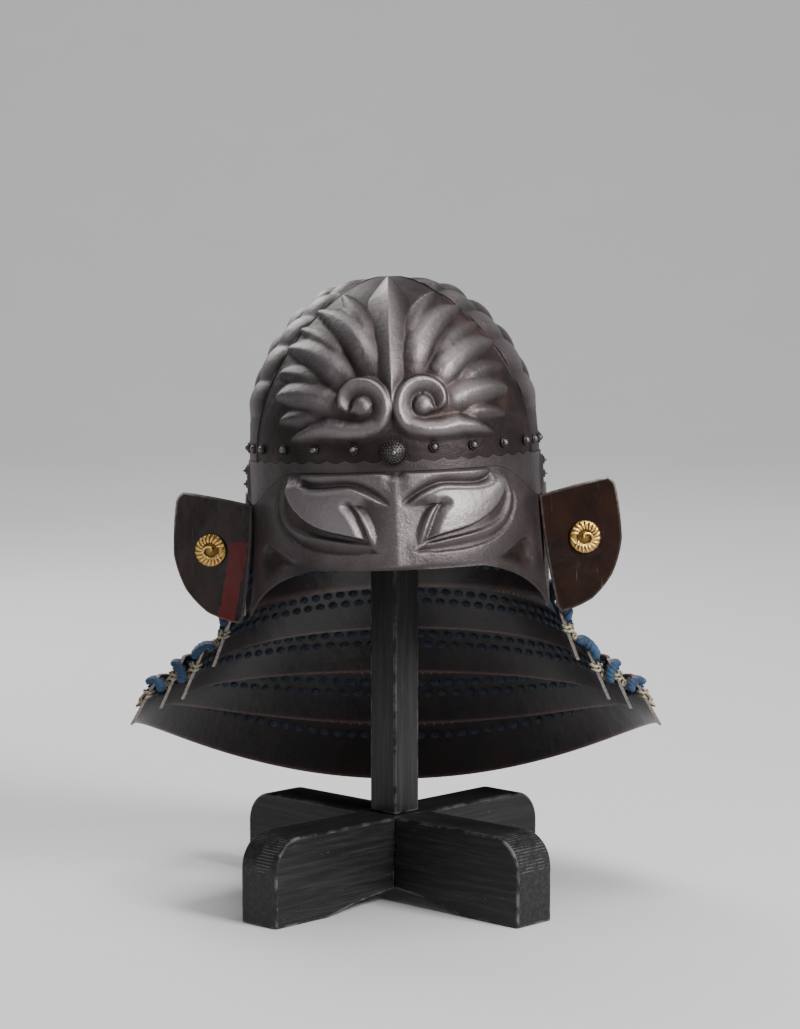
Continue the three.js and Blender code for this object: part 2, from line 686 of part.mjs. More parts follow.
function turnBackShape() {
  const corners = TURN_BACK_OUTLINE.map(
    (row) => new THREE.Vector2(row.across * TURN_BACK_WIDTH, row.up * TURN_BACK_HEIGHT),
  );
  const shape = new THREE.Shape();
  shape.moveTo(corners.at(-1).x, corners.at(-1).y);
  TURN_BACK_OUTLINE.forEach((row, k) => {
    const to = corners[k];
    const side = to.clone().sub(corners.at(k - 1));
    const middle = to.clone().addScaledVector(side, -1 / 2);
    const bend = new THREE.Vector2(-side.y, side.x).multiplyScalar(row.bulge).add(middle);
    shape.quadraticCurveTo(bend.x, bend.y, to.x, to.y);
  });
  return shape;
}

function turnBack() {
  const across = { depth: TURN_BACK_WALL, bevelEnabled: false, curveSegments: 4 };
  return closed(new THREE.ExtrudeGeometry(turnBackShape(), across));
}

// The frame of one turned-back plate: x outwards, y up, z to the front.
function turnBackFrame(side) {
  const frame = new THREE.Group();
  const corner = planPoint(
    radians(VISOR_END_ANGLE),
    BOWL_HALF_WIDTH + BAND_PROUD + CLEARANCE,
    BOWL_FRONT + BAND_PROUD,
    BOWL_REAR,
    -BAND_DEPTH - CLEARANCE,
  );
  corner.y += TURN_BACK_WALL + 2 * CLEARANCE;
  frame.position.set(side * corner.x, corner.y, corner.z);
  frame.rotation.set(Math.PI / 2, side * radians(TURN_BACK_SWEEP), 0, "XYZ");
  frame.scale.x = side;
  return frame;
}

// The stand

function beamShape() {
  const half = BEAM_LENGTH / 2;
  const shape = new THREE.Shape();
  shape.moveTo(-half, 0);
  shape.lineTo(-half + FOOT_LENGTH, 0);
  shape.quadraticCurveTo(0, 2 * ARCH_RISE, half - FOOT_LENGTH, 0);
  shape.lineTo(half, 0);
  shape.lineTo(half, BEAM_HEIGHT - BEAM_END_ROUND);
  shape.absarc(half - BEAM_END_ROUND, BEAM_HEIGHT - BEAM_END_ROUND, BEAM_END_ROUND, 0, Math.PI / 2);
  shape.lineTo(-half + BEAM_END_ROUND, BEAM_HEIGHT);
  shape.absarc(
    -half + BEAM_END_ROUND,
    BEAM_HEIGHT - BEAM_END_ROUND,
    BEAM_END_ROUND,
    Math.PI / 2,
    Math.PI,
  );
  shape.lineTo(-half, 0);
  return shape;
}

// A beam along X with a notch across its middle, in its top or its bottom half.
function beam(notchOnTop) {
  const across = { depth: BEAM_WIDTH, bevelEnabled: false, curveSegments: 8 };
  const bar = new THREE.ExtrudeGeometry(beamShape(), across);
  bar.translate(0, 0, -BEAM_WIDTH / 2);
  bar.rotateX(Math.PI / 2);
  const whole = solidOf(closed(bar));
  const notchWidth = BEAM_WIDTH + 2 * CLEARANCE;
  const notch = new THREE.BoxGeometry(notchWidth, 2 * BEAM_WIDTH, BEAM_HEIGHT);
  const middle = (BEAM_HEIGHT + ARCH_RISE) / 2;
  const shift = (BEAM_HEIGHT - CLEARANCE) / 2;
  notch.translate(0, 0, notchOnTop ? middle + shift : middle - shift);
  return geometryOf(whole.subtract(solidOf(notch)));
}

// Height of the rest's top face at a radius, just under the inside of the bowl.
function restTop(radius) {
  const across = radius / (BOWL_HALF_WIDTH - BOWL_WALL);
  return (BOWL_HEIGHT - BOWL_WALL) * Math.sqrt(1 - across ** 2) - 2 * CLEARANCE;
}

const REST_BASE = restTop(REST_RADIUS) - REST_DEPTH;
const POST_TOP = WAIST_HEIGHT + REST_BASE + MORTISE_DEPTH;

function post() {
  const from = BEAM_HEIGHT + CLEARANCE;
  const bar = new THREE.BoxGeometry(POST_SIDE, POST_SIDE, POST_TOP - from);
  bar.translate(0, 0, (POST_TOP + from) / 2);
  return bar;
}

// The pad under the crown: its top follows the inside of the bowl and the post stands in it.
function headRest() {
  const points = [new THREE.Vector2(0, REST_BASE), new THREE.Vector2(REST_RADIUS, REST_BASE)];
  for (let k = REST_RINGS; k >= 0; k--) {
    const radius = (REST_RADIUS * k) / REST_RINGS;
    points.push(new THREE.Vector2(radius, restTop(radius)));
  }
  const turned = solidOf(closed(new THREE.LatheGeometry(points, REST_SIDES).rotateX(Math.PI / 2)));
  const side = POST_SIDE + 2 * CLEARANCE;
  const mortise = new THREE.BoxGeometry(side, side, POST_TOP);
  mortise.translate(0, 0, POST_TOP / 2 + CLEARANCE);
  object.updateMatrixWorld(true);
  mortise.applyMatrix4(stand.matrixWorld);
  mortise.applyMatrix4(helmet.matrixWorld.clone().invert());
  return geometryOf(turned.subtract(solidOf(mortise)));
}

// Finishes

const finish = (color, roughness, metalness) =>
  new THREE.MeshStandardMaterial({ color, roughness, metalness });

const IRON = finish(0x4a4246, 0.5, 0.8);
const RIVET_IRON = finish(0x2c2728, 0.45, 0.8);
const LACQUER = finish(0x1c100d, 0.18, 0);
const SILK = finish(0x16304f, 0.8, 0);
const GILT = finish(0xb08a4a, 0.35, 0.9);
const BLACK_WOOD = finish(0x0d0d0f, 0.45, 0);

function named(name, geometry, material) {
  const mesh = new THREE.Mesh(geometry, material);
  mesh.name = name;
  return mesh;
}

// Assembly

const helmet = new THREE.Group();
helmet.position.z = WAIST_HEIGHT;
helmet.rotation.set(radians(-TILT_BACK), radians(-LEAN), 0, "YXZ");

const stand = new THREE.Group();
stand.rotation.z = radians(90 - BEAM_TURN);

const object = new THREE.Group();
object.add(stand, helmet);

function buildStand() {
  const across = named("stand_beam_upper", beam(false), BLACK_WOOD);
  const along = named("stand_beam_lower", beam(true), BLACK_WOOD);
  along.rotation.z = Math.PI / 2;
  const upright = named("stand_post", post(), BLACK_WOOD);
  stand.add(across, along, upright);
  helmet.add(named("head_rest", headRest(), BLACK_WOOD));
}

function buildBowl() {
  helmet.add(named("bowl_front_plate", frontPlate(), IRON));
  helmet.add(named("bowl_plate_right", rearPlate(1), IRON));
  helmet.add(named("bowl_plate_left", rearPlate(-1), IRON));
  helmet.add(named("brow_band", browBand(), IRON));
  helmet.add(named("visor", visor(), IRON));
}

const SIDES = [
  { side: 1, word: "right" },
  { side: -1, word: "left" },
];

function buildStuds() {
  const beaded = stud(ROSETTE_RADIUS, ROSETTE_HEIGHT, 16, BEADED_PROFILE);
  const rosette = named("front_rosette", beaded, RIVET_IRON);
  helmet.add(seatOnWall(rosette, 0, FRONT_PLATE_LIFT, ROSETTE_LINE));
  for (const { side, word } of SIDES) {
    RIVET_AZIMUTHS.forEach((azimuth, k) => {
      const dome = stud(RIVET_RADIUS, RIVET_HEIGHT, 8, DOME_PROFILE);
      const rivet = named(`rivet_${word}_${k + 1}`, dome, RIVET_IRON);
      const lift = azimuth < FRONT_PLATE_WAIST_ANGLE ? FRONT_PLATE_LIFT : 0;
      helmet.add(seatOnWall(rivet, side * radians(azimuth), lift, RIVET_LINE));
    });
    SIDE_ROSETTES.forEach((row, k) => {
      const shape = stud(SIDE_ROSETTE_RADIUS, SIDE_ROSETTE_HEIGHT, 10, BEADED_PROFILE);
      const small = named(`side_rosette_${word}_${k + 1}`, shape, RIVET_IRON);
      const down = -row.drop * BAND_DEPTH;
      helmet.add(seatOnWall(small, side * radians(row.azimuth), BAND_PROUD, down));
    });
  }
}

function buildGuard() {
  LAMES.forEach((_, k) => helmet.add(named(`neck_lame_${k + 1}`, lame(k), LACQUER)));
  for (let k = 1; k < LAMES.length; k++) {
    helmet.add(named(`lacing_on_lame_${k + 1}`, headLacing(k), SILK));
    helmet.add(named(`lacing_below_lame_${k}`, fallingLacing(k - 1), SILK));
  }
}

function buildTurnBacks() {
  for (const { side, word } of SIDES) {
    const frame = turnBackFrame(side);
    frame.add(named(`turn_back_${word}`, turnBack(), LACQUER));
    const roundel = stud(CREST_RADIUS, CREST_THICKNESS, 16, BEADED_PROFILE);
    const crest = named(`crest_${word}`, roundel, GILT);
    crest.position.x = CREST_PLACE.across * TURN_BACK_WIDTH;
    crest.position.y = CREST_PLACE.up * TURN_BACK_HEIGHT;
    crest.position.z = TURN_BACK_WALL + CLEARANCE;
    frame.add(crest);
    helmet.add(frame);
  }
}

buildStand();
buildBowl();
buildStuds();
buildGuard();
buildTurnBacks();

// The origin is on the floor, under the middle of the whole object.
object.updateMatrixWorld(true);
const extent = new THREE.Box3().setFromObject(object, true);
const middle = extent.getCenter(new THREE.Vector3());
object.position.set(-middle.x, -middle.y, -extent.min.z);

const part = new THREE.Group();
part.add(object);
export default part;
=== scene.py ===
"""Looks of a samurai helmet on its wooden stand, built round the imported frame.

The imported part's frame is in metres, +Z up, and the helmet faces -Y. Sizes and shapes are named
in millimetres here, as in the part's source, and become metres where a mesh is made.
"""
import logging
import math
from dataclasses import dataclass, field
from enum import Enum
from functools import partial
from typing import Callable, Iterable, Sequence

import bmesh
import bpy
import numpy as np
from mathutils import Matrix, Vector


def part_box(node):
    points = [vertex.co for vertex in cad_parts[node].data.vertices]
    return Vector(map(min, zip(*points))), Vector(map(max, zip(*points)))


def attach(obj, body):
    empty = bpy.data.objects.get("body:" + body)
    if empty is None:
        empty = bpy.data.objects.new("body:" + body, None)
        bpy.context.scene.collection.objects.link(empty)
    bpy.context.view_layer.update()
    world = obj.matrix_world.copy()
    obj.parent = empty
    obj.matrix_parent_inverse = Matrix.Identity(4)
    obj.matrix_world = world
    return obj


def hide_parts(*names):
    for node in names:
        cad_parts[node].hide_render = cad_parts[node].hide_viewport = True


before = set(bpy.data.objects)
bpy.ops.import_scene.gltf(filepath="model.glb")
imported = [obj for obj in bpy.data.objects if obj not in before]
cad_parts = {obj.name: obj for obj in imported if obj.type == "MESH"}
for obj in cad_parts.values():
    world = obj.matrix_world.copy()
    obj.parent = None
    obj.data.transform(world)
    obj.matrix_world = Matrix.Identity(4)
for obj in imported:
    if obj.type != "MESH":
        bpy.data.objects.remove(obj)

log = logging.getLogger("helmet")
MM = 0.001
LEAST = 1e-9
BODY = "root"
GAP = 0.3
SIDES = ((1, "right"), (-1, "left"))
ANY_SIDE = (0.31, 0.17, 0.94)
CORD_TAPER = 0.72
MERGE = 1e-7

Array = np.ndarray
Mesh = bmesh.types.BMesh
Colour = tuple[float, float, float]
Pair = tuple[float, float]
Size = Array | float
Surface = Callable[[Array, Array], Array]
Wall = Callable[[Array, Array, float], Array]


# Shader writing


class Value:
    """A shader socket that adds Math nodes when it is used in Python arithmetic."""

    def __init__(self, shader: "Shader", socket: bpy.types.NodeSocket) -> None:
        """Keeps the socket and the shader that it belongs to.

        Args:
            shader: The shader whose tree gets the nodes.
            socket: The output socket that holds the value.
        """
        self.shader = shader
        self.socket = socket

    def _math(self, operation: str, *operands: "Value | float") -> "Value":
        """Adds one Math node.

        Args:
            operation: The name of the Math operation.
            *operands: Values or numbers in the order of the node's sockets.

        Returns:
            The node's result.
        """
        inputs = dict(enumerate(operands))
        return self.shader.node("ShaderNodeMath", {"operation": operation}, inputs)

    def __add__(self, other: "Value | float") -> "Value":
        """Adds."""
        return self._math("ADD", self, other)

    def __radd__(self, other: float) -> "Value":
        """Adds to a number."""
        return self._math("ADD", other, self)

    def __sub__(self, other: "Value | float") -> "Value":
        """Subtracts."""
        return self._math("SUBTRACT", self, other)

    def __rsub__(self, other: float) -> "Value":
        """Subtracts from a number."""
        return self._math("SUBTRACT", other, self)

    def __mul__(self, other: "Value | float") -> "Value":
        """Multiplies."""
        return self._math("MULTIPLY", self, other)

    def __rmul__(self, other: float) -> "Value":
        """Multiplies a number."""
        return self._math("MULTIPLY", other, self)

    def sine(self) -> "Value":
        """Takes the sine."""
        return self._math("SINE", self)

    def fraction(self) -> "Value":
        """Takes what is left after the whole number."""
        return self._math("FRACT", self)

    def size(self) -> "Value":
        """Takes the value without its sign."""
        return self._math("ABSOLUTE", self)

    def step(self, low: float, high: float) -> "Value":
        """Maps low to 0 and high to 1 with soft ends.

        Args:
            low: The value that becomes 0.
            high: The value that becomes 1.

        Returns:
            The mapped value.
        """
        settings = {"interpolation_type": "SMOOTHSTEP"}
        inputs = {"Value": self, "From Min": low, "From Max": high}
        return self.shader.node("ShaderNodeMapRange", settings, inputs)


Input = Value | float | Sequence[float]


class Shader:
    """A material that is written node by node."""

    def __init__(self, name: str) -> None:
        """Starts a material with one Principled shader.

        Args:
            name: The material's name.
        """
        self.material = bpy.data.materials.new(name)
        self.material.use_nodes = True
        self.tree = self.material.node_tree
        self.surface = self.tree.nodes["Principled BSDF"]

    def _feed(self, node: bpy.types.Node, key: str | int, value: Input) -> None:
        """Links a value to a socket or sets the socket's own number.

        Args:
            node: The node that gets the input.
            key: The input's name or index.
            value: A value to link, or a number or colour to set.
        """
        socket = node.inputs[key]
        if isinstance(value, Value):
            self.tree.links.new(value.socket, socket)
        elif isinstance(value, (tuple, list)) and len(value) == 3 and socket.type == "RGBA":
            socket.default_value = (*value, 1.0)
        else:
            socket.default_value = value

    def node(
        self,
        kind: str,
        settings: dict[str, object] | None = None,
        inputs: dict[str | int, Input] | None = None,
        output: str | int = 0,
    ) -> Value:
        """Adds any node.

        Args:
            kind: The node's type.
            settings: The node's own settings.
            inputs: Values or numbers for its sockets, by name or index.
            output: The output that is returned.

        Returns:
            The output as a value.
        """
        made = self.tree.nodes.new(kind)
        for key, value in (settings or {}).items():
            setattr(made, key, value)
        for key, value in (inputs or {}).items():
            self._feed(made, key, value)
        return Value(self, made.outputs[output])

    def place(self) -> Value:
        """Gives the object coordinates."""
        return self.node("ShaderNodeTexCoord", output="Object")

    def unwrapped(self) -> Value:
        """Gives the piece's own UV coordinates."""
        return self.node("ShaderNodeUVMap", {"uv_map": "UVMap"})

    def along(self, place: Value, axis: str) -> Value:
        """Gives one coordinate of a place.

        Args:
            place: The place.
            axis: "X", "Y" or "Z".

        Returns:
            The coordinate.
        """
        return self.node("ShaderNodeSeparateXYZ", {}, {0: place}, axis)

    def painted(self, name: str) -> Value:
        """Gives a value that is stored on the mesh.

        Args:
            name: The attribute's name.

        Returns:
            The attribute's value.
        """
        return self.node("ShaderNodeAttribute", {"attribute_name": name}, output="Fac")

    def noise(
        self, scale: float, detail: float, longer: Colour = (1, 1, 1), turn: float = 0.0
    ) -> Value:
        """Gives a noise of about 0 to 1 over the object coordinates.

        Args:
            scale: How many features it has in a metre.
            detail: How many finer layers it has.
            longer: How many times longer its features are along each axis.
            turn: The turn of those axes about Z, in degrees.

        Returns:
            The noise.
        """
        about_z = (0.0, 0.0, math.radians(turn))
        axes = {"Vector": self.place(), "Scale": longer, "Rotation": about_z}
        where = self.node("ShaderNodeMapping", {"vector_type": "TEXTURE"}, axes)
        inputs = {"Vector": where, "Scale": scale, "Detail": detail, "Roughness": 0.6}
        return self.node("ShaderNodeTexNoise", {}, inputs)

    def blend(self, share: Input, first: Input, second: Input) -> Value:
        """Mixes two colours.

        Args:
            share: How much of the second one there is.
            first: The first colour.
            second: The second colour.

        Returns:
            The mixed colour.
        """
        inputs = {0: share, 6: first, 7: second}
        return self.node("ShaderNodeMix", {"data_type": "RGBA"}, inputs, 2)

    def relief(self, height: Value, depth: float) -> None:
        """Adds a bump to the surface, on top of any before it.

        Args:
            height: The height, from about 0 to 1.
            depth: The depth in metres that a height of 1 stands for.
        """
        inputs = {"Height": height, "Distance": depth, "Strength": 1.0}
        socket = self.surface.inputs["Normal"]
        if socket.links:
            inputs["Normal"] = Value(self, socket.links[0].from_socket)
        self.tree.links.new(self.node("ShaderNodeBump", {}, inputs).socket, socket)

    def set(self, **inputs: Input) -> None:
        """Sets inputs of the surface, with underscores for spaces.

        Args:
            **inputs: Values, numbers or colours by the name of their socket.
        """
        for key, value in inputs.items():
            self._feed(self.surface, key.replace("_", " "), value)


@dataclass(frozen=True)
class Iron:
    """Dark hammered iron with a russet patina, painted shade in its hollows and worn metal with a
    painted highlight where raised.
    """

    name: str
    # hollow is painted shade together with the patina's dark; bright is worn metal together with a
    # painted highlight.
    hollow: Colour = (0.021, 0.015, 0.014)
    body: Colour = (0.098, 0.083, 0.083)
    bright: Colour = (0.29, 0.268, 0.268)
    rust: Colour = (0.070, 0.034, 0.027)
    roughness: float = 0.40

    def make(self) -> bpy.types.Material:
        """Builds the material."""
        s = Shader(self.name)
        raised = s.painted("raised")
        cloud, grain, sand = s.noise(30, 4), s.noise(620, 3), s.noise(1700, 2)
        # Painted shade: the low parts blend towards the near-black hollow colour, and the raised
        # parts keep the body colour, as wear and as light.
        worn_and_lit = (raised * 0.7 + cloud * 0.6 - 0.15).step(0.0, 0.7)
        tone = s.blend(worn_and_lit, self.hollow, self.body)
        # Painted highlight together with worn metal: the highest parts blend towards the bright
        # colour.
        tone = s.blend((raised + grain * 0.6 - 0.7).step(0.0, 0.7) * 0.5, tone, self.bright)
        patch = s.noise(17, 5).step(0.52, 0.74) * 0.55
        tone = s.blend(patch * (1.25 - raised), tone, self.rust)
        # Painted glints: fine specks blend towards the bright colour.
        tone = s.blend(sand.step(0.66, 0.80) * 0.30, tone, self.bright)
        tone = s.blend(sand.step(0.36, 0.24) * 0.45, tone, self.hollow)
        s.set(Base_Color=tone, Metallic=0.86 - patch * 0.5)
        s.set(Roughness=self.roughness + grain * 0.12 + cloud * 0.10 - worn_and_lit * 0.06)
        s.relief(sand, 0.00012)
        s.relief(grain, 0.00022)
        s.relief(s.noise(150, 3), 0.0005)
        return s.material


@dataclass(frozen=True)
class Lacquer:
    """Deep brown-black lacquer with fine scratches, worn edges and one red patch, in metres."""

    name: str
    body: Colour = (0.009, 0.005, 0.004)
    warm: Colour = (0.020, 0.008, 0.005)
    edge: Colour = (0.42, 0.38, 0.35)
    red: Colour = (0.085, 0.005, 0.004)
    patch_left: float = -0.1258
    patch_right: float = -0.1123
    patch_top: float = 0.2705
    patch_middle: float = 0.242
    patch_slant: float = 0.184
    patch_fade: float = 0.0008

    def make(self) -> bpy.types.Material:
        """Builds the material."""
        s = Shader(self.name)
        cloud = s.noise(30, 4)
        scratch = s.noise(420, 2, (1, 1, 16)).step(0.68, 0.78)
        tone = s.blend(cloud.step(0.35, 0.7), self.body, self.warm)
        across, up = s.along(s.place(), "X"), s.along(s.place(), "Z")
        ragged = (s.noise(120, 3) - 0.5) * 0.006
        slanted = across - (up - self.patch_middle) * self.patch_slant + ragged
        patch = slanted.step(self.patch_left, self.patch_left + self.patch_fade)
        patch = patch * slanted.step(self.patch_right, self.patch_right - self.patch_fade)
        patch = patch * (up + ragged).step(self.patch_top, self.patch_top - 2 * self.patch_fade)
        tone = s.blend(patch, tone, self.red)
        bare = s.painted("bare") * (0.4 + 0.6 * s.noise(260, 3).step(0.35, 0.65))
        tone = s.blend(bare, tone, self.edge)
        tone = s.blend(scratch * 0.12, tone, self.edge)
        s.set(Base_Color=tone, Metallic=bare * 0.8, Roughness=0.16 + scratch * 0.18 + cloud * 0.08)
        s.set(Coat_Weight=0.12, Coat_Roughness=0.05, Specular_IOR_Level=0.2)
        s.relief(s.noise(60, 2), 0.0005)
        s.relief(s.noise(16, 1), 0.0022)
        return s.material


@dataclass(frozen=True)
class LacedPlate:
    """A lame's finish: dark lacquer, a brown fluted head with bare grooves, bare front edges."""

    name: str
    body: Colour = (0.010, 0.008, 0.009)
    warm: Colour = (0.030, 0.012, 0.009)
    head: Colour = (0.070, 0.038, 0.028)
    bare: Colour = (0.32, 0.28, 0.26)
    red: Colour = (0.16, 0.022, 0.016)

    def make(self) -> bpy.types.Material:
        """Builds the material."""
        s = Shader(self.name)
        grain, cloud = s.noise(700, 3), s.noise(45, 4)
        head = s.painted("head")
        tone = s.blend(cloud.step(0.4, 0.7) * 0.5, self.body, self.warm)
        tone = s.blend(head, tone, self.head)
        tone = s.blend(s.painted("red") * cloud.step(0.3, 0.5), tone, self.red)
        bare = s.painted("bare") * (0.35 + 0.65 * grain.step(0.3, 0.6))
        tone = s.blend(bare, tone, self.bare)
        s.set(Base_Color=tone, Metallic=bare * 0.85)
        s.set(Roughness=0.34 + head * 0.12 + grain * 0.14)
        s.set(Coat_Weight=0.12, Coat_Roughness=0.2)
        s.relief(grain, 0.0001)
        s.relief(s.noise(90, 2), 0.0006)
        return s.material


@dataclass(frozen=True)
class Silk:
    """Braided silk: a herringbone over the cord's own UV map, in metres, with painted shade in its
    grooves and a patchy painted sheen.
    """

    name: str
    # deep is painted shade for the grooves, body the silk's own colour and lit a painted sheen.
    deep: Colour
    body: Colour
    lit: Colour
    fleck: Colour
    flecks: float = 0.1
    plait: float = 0.0021

    def make(self) -> bpy.types.Material:
        """Builds the material."""
        s = Shader(self.name)
        across, down = s.along(s.unwrapped(), "X"), s.along(s.unwrapped(), "Y")
        chevron = ((across * (0.5 / self.plait)).fraction() - 0.5).size() * 2
        twill = ((down * (1 / self.plait) + chevron) * (2 * math.pi)).sine() * 0.5 + 0.5
        fibre = s.noise(2600, 2)
        cloud = s.noise(70, 3)
        # Painted shade: the weave's grooves, the low parts of the twill bump, blend towards the
        # deep colour.
        tone = s.blend(twill * 0.75 + fibre * 0.25, self.deep, self.body)
        # Painted sheen: cloudy patches blend towards the lit colour.
        tone = s.blend(cloud.step(0.45, 0.75) * 0.6, tone, self.lit)
        speck = s.noise(430, 2).step(0.55, 0.61) * self.flecks
        tone = s.blend(speck, tone, self.fleck)
        s.set(Base_Color=tone, Roughness=0.66 + fibre * 0.2)
        s.set(Sheen_Weight=0.2, Sheen_Roughness=0.4)
        s.relief(twill, 0.0005)
        s.relief(fibre, 0.00012)
        return s.material


@dataclass(frozen=True)
class Gilt:
    """Worn gilding over copper, with painted shade in its hollows and a painted highlight on its
    highest parts.
    """

    name: str
    hollow: Colour = (0.045, 0.025, 0.008)
    body: Colour = (0.44, 0.255, 0.070)
    bright: Colour = (0.80, 0.54, 0.20)

    def make(self) -> bpy.types.Material:
        """Builds the material."""
        s = Shader(self.name)
        raised, grain = s.painted("raised"), s.noise(1500, 3)
        # Painted shade: the low parts blend towards the dark hollow colour.
        tone = s.blend((raised + grain * 0.3 - 0.1).step(0.0, 0.6), self.hollow, self.body)
        # Painted highlight: the highest parts blend towards the bright colour.
        tone = s.blend((raised + grain * 0.4 - 0.7).step(0.0, 0.6), tone, self.bright)
        s.set(Base_Color=tone, Metallic=1.0, Roughness=0.22 + grain * 0.22)
        s.relief(grain, 0.00008)
        return s.material


@dataclass(frozen=True)
class BlackWood:
    """Black lacquered wood: brushed grain along one direction and rubbed edges."""

    name: str
    grain_along: Colour
    turn: float = 46
    body: Colour = (0.007, 0.007, 0.008)
    streak: Colour = (0.022, 0.021, 0.021)
    rubbed: Colour = (0.13, 0.125, 0.12)
    fleck: Colour = (0.12, 0.11, 0.10)

    def make(self) -> bpy.types.Material:
        """Builds the material."""
        s = Shader(self.name)
        grain = s.noise(330, 4, self.grain_along, self.turn)
        fine = s.noise(1200, 2, self.grain_along, self.turn)
        cloud = s.noise(22, 3)
        tone = s.blend((grain * 0.7 + fine * 0.3).step(0.42, 0.66), self.body, self.streak)
        edge = s.painted("raised") * s.noise(90, 3).step(0.42, 0.62) * (0.35 + fine * 0.65)
        tone = s.blend(edge, tone, self.rubbed)
        tone = s.blend(s.noise(260, 2).step(0.72, 0.75) * 0.5, tone, self.fleck)
        s.set(Base_Color=tone, Roughness=0.36 + fine * 0.14 + cloud * 0.08)
        s.set(Specular_IOR_Level=0.32)
        s.relief(grain, 0.00035)
        s.relief(fine, 0.00010)
        return s.material


@dataclass(frozen=True)
class Floor:
    """The pale plain floor."""

    name: str = "pale_floor"
    body: Colour = (0.62, 0.62, 0.63)
    pale: Colour = (0.66, 0.66, 0.67)

    def make(self) -> bpy.types.Material:
        """Builds the material."""
        s = Shader(self.name)
        tone = s.blend(s.noise(3, 3), self.body, self.pale)
        s.set(Base_Color=tone, Roughness=0.7)
        return s.material


class Finish(Enum):
    """The finishes of the pieces, each with the record's slot that it belongs to."""

    PLATE_IRON = ("iron", Iron("hammered_iron"))
    STUD_IRON = (
        "rivet_iron",
        Iron("stud_iron", body=(0.050, 0.044, 0.044), bright=(0.26, 0.24, 0.24), roughness=0.36),
    )
    LACQUER = ("lacquer", Lacquer("brown_black_lacquer"))
    LAME = ("lacquer", LacedPlate("laced_plate"))
    BLUE_SILK = (
        "silk",
        Silk(
            "indigo_silk",
            deep=(0.003, 0.010, 0.028),
            body=(0.009, 0.040, 0.100),
            lit=(0.018, 0.078, 0.165),
            fleck=(0.03, 0.09, 0.15),
        ),
    )
    CREAM_SILK = (
        "silk",
        Silk(
            "cream_silk",
            deep=(0.13, 0.10, 0.06),
            body=(0.42, 0.35, 0.22),
            lit=(0.60, 0.53, 0.37),
            fleck=(0.02, 0.06, 0.05),
            flecks=0.95,
        ),
    )
    GILT = ("gilt", Gilt("worn_gilt"))
    WOOD_ACROSS = ("stand_wood", BlackWood("black_wood_across", (22, 1, 1)))
    WOOD_ALONG = ("stand_wood", BlackWood("black_wood_along", (1, 22, 1)))
    WOOD_UPRIGHT = ("stand_wood", BlackWood("black_wood_upright", (1, 1, 22)))

    @property
    def slot(self) -> str:
        """Names the record's material slot."""
        return self.value[0]

    def material(self) -> bpy.types.Material:
        """Gives the material, made once."""
        recipe = self.value[1]
        return bpy.data.materials.get(recipe.name) or recipe.make()


# Meshes


def smooth(share: Array) -> Array:
    """Eases shares from 0 to 1 with level ends."""
    held = np.clip(share, 0.0, 1.0)
    return held * held * (3 - 2 * held)


def add_object(name: str, data: bpy.types.ID) -> bpy.types.Object:
    """Adds an object to the scene."""
    made = bpy.data.objects.new(name, data)
    bpy.context.scene.collection.objects.link(made)
    return made


def smooth_faces(faces: Iterable[bmesh.types.BMFace]) -> None:
    """Shades faces smooth."""
    for face in faces:
        face.smooth = True


def finish_piece(name: str, bm: Mesh, finish: Finish, nodes: Sequence[str] = ()) -> None:
    """Turns a bmesh into a piece that rides on the part.

    Args:
        name: The piece's name.
        bm: The mesh, which is used up.
        finish: Its finish.
        nodes: The solids that it stands for.
    """
    if bm.calc_volume(signed=True) < 0:
        bmesh.ops.reverse_faces(bm, faces=bm.faces[:])
    mesh = bpy.data.meshes.new(name)
    bm.to_mesh(mesh)
    bm.free()
    piece = add_object(name, mesh)
    mesh.materials.append(finish.material())
    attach(piece, BODY)
    if nodes:
        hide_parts(*nodes)
    log.info("%s: %d faces", name, len(mesh.polygons))


def corner_shares(columns: int, rows: int) -> tuple[Array, Array]:
    """Gives the shares across and down of a grid's corners."""
    return np.meshgrid(np.linspace(0, 1, columns + 1), np.linspace(0, 1, rows + 1))


def sampled(grid: Array) -> Surface:
    """Gives the numbers of a grid by shares across and down, at its own corners."""
    rows, columns = grid.shape[0] - 1, grid.shape[1] - 1

    def read(a: Array, d: Array) -> Array:
        return grid[np.rint(d * rows).astype(int), np.rint(a * columns).astype(int)]

    return read


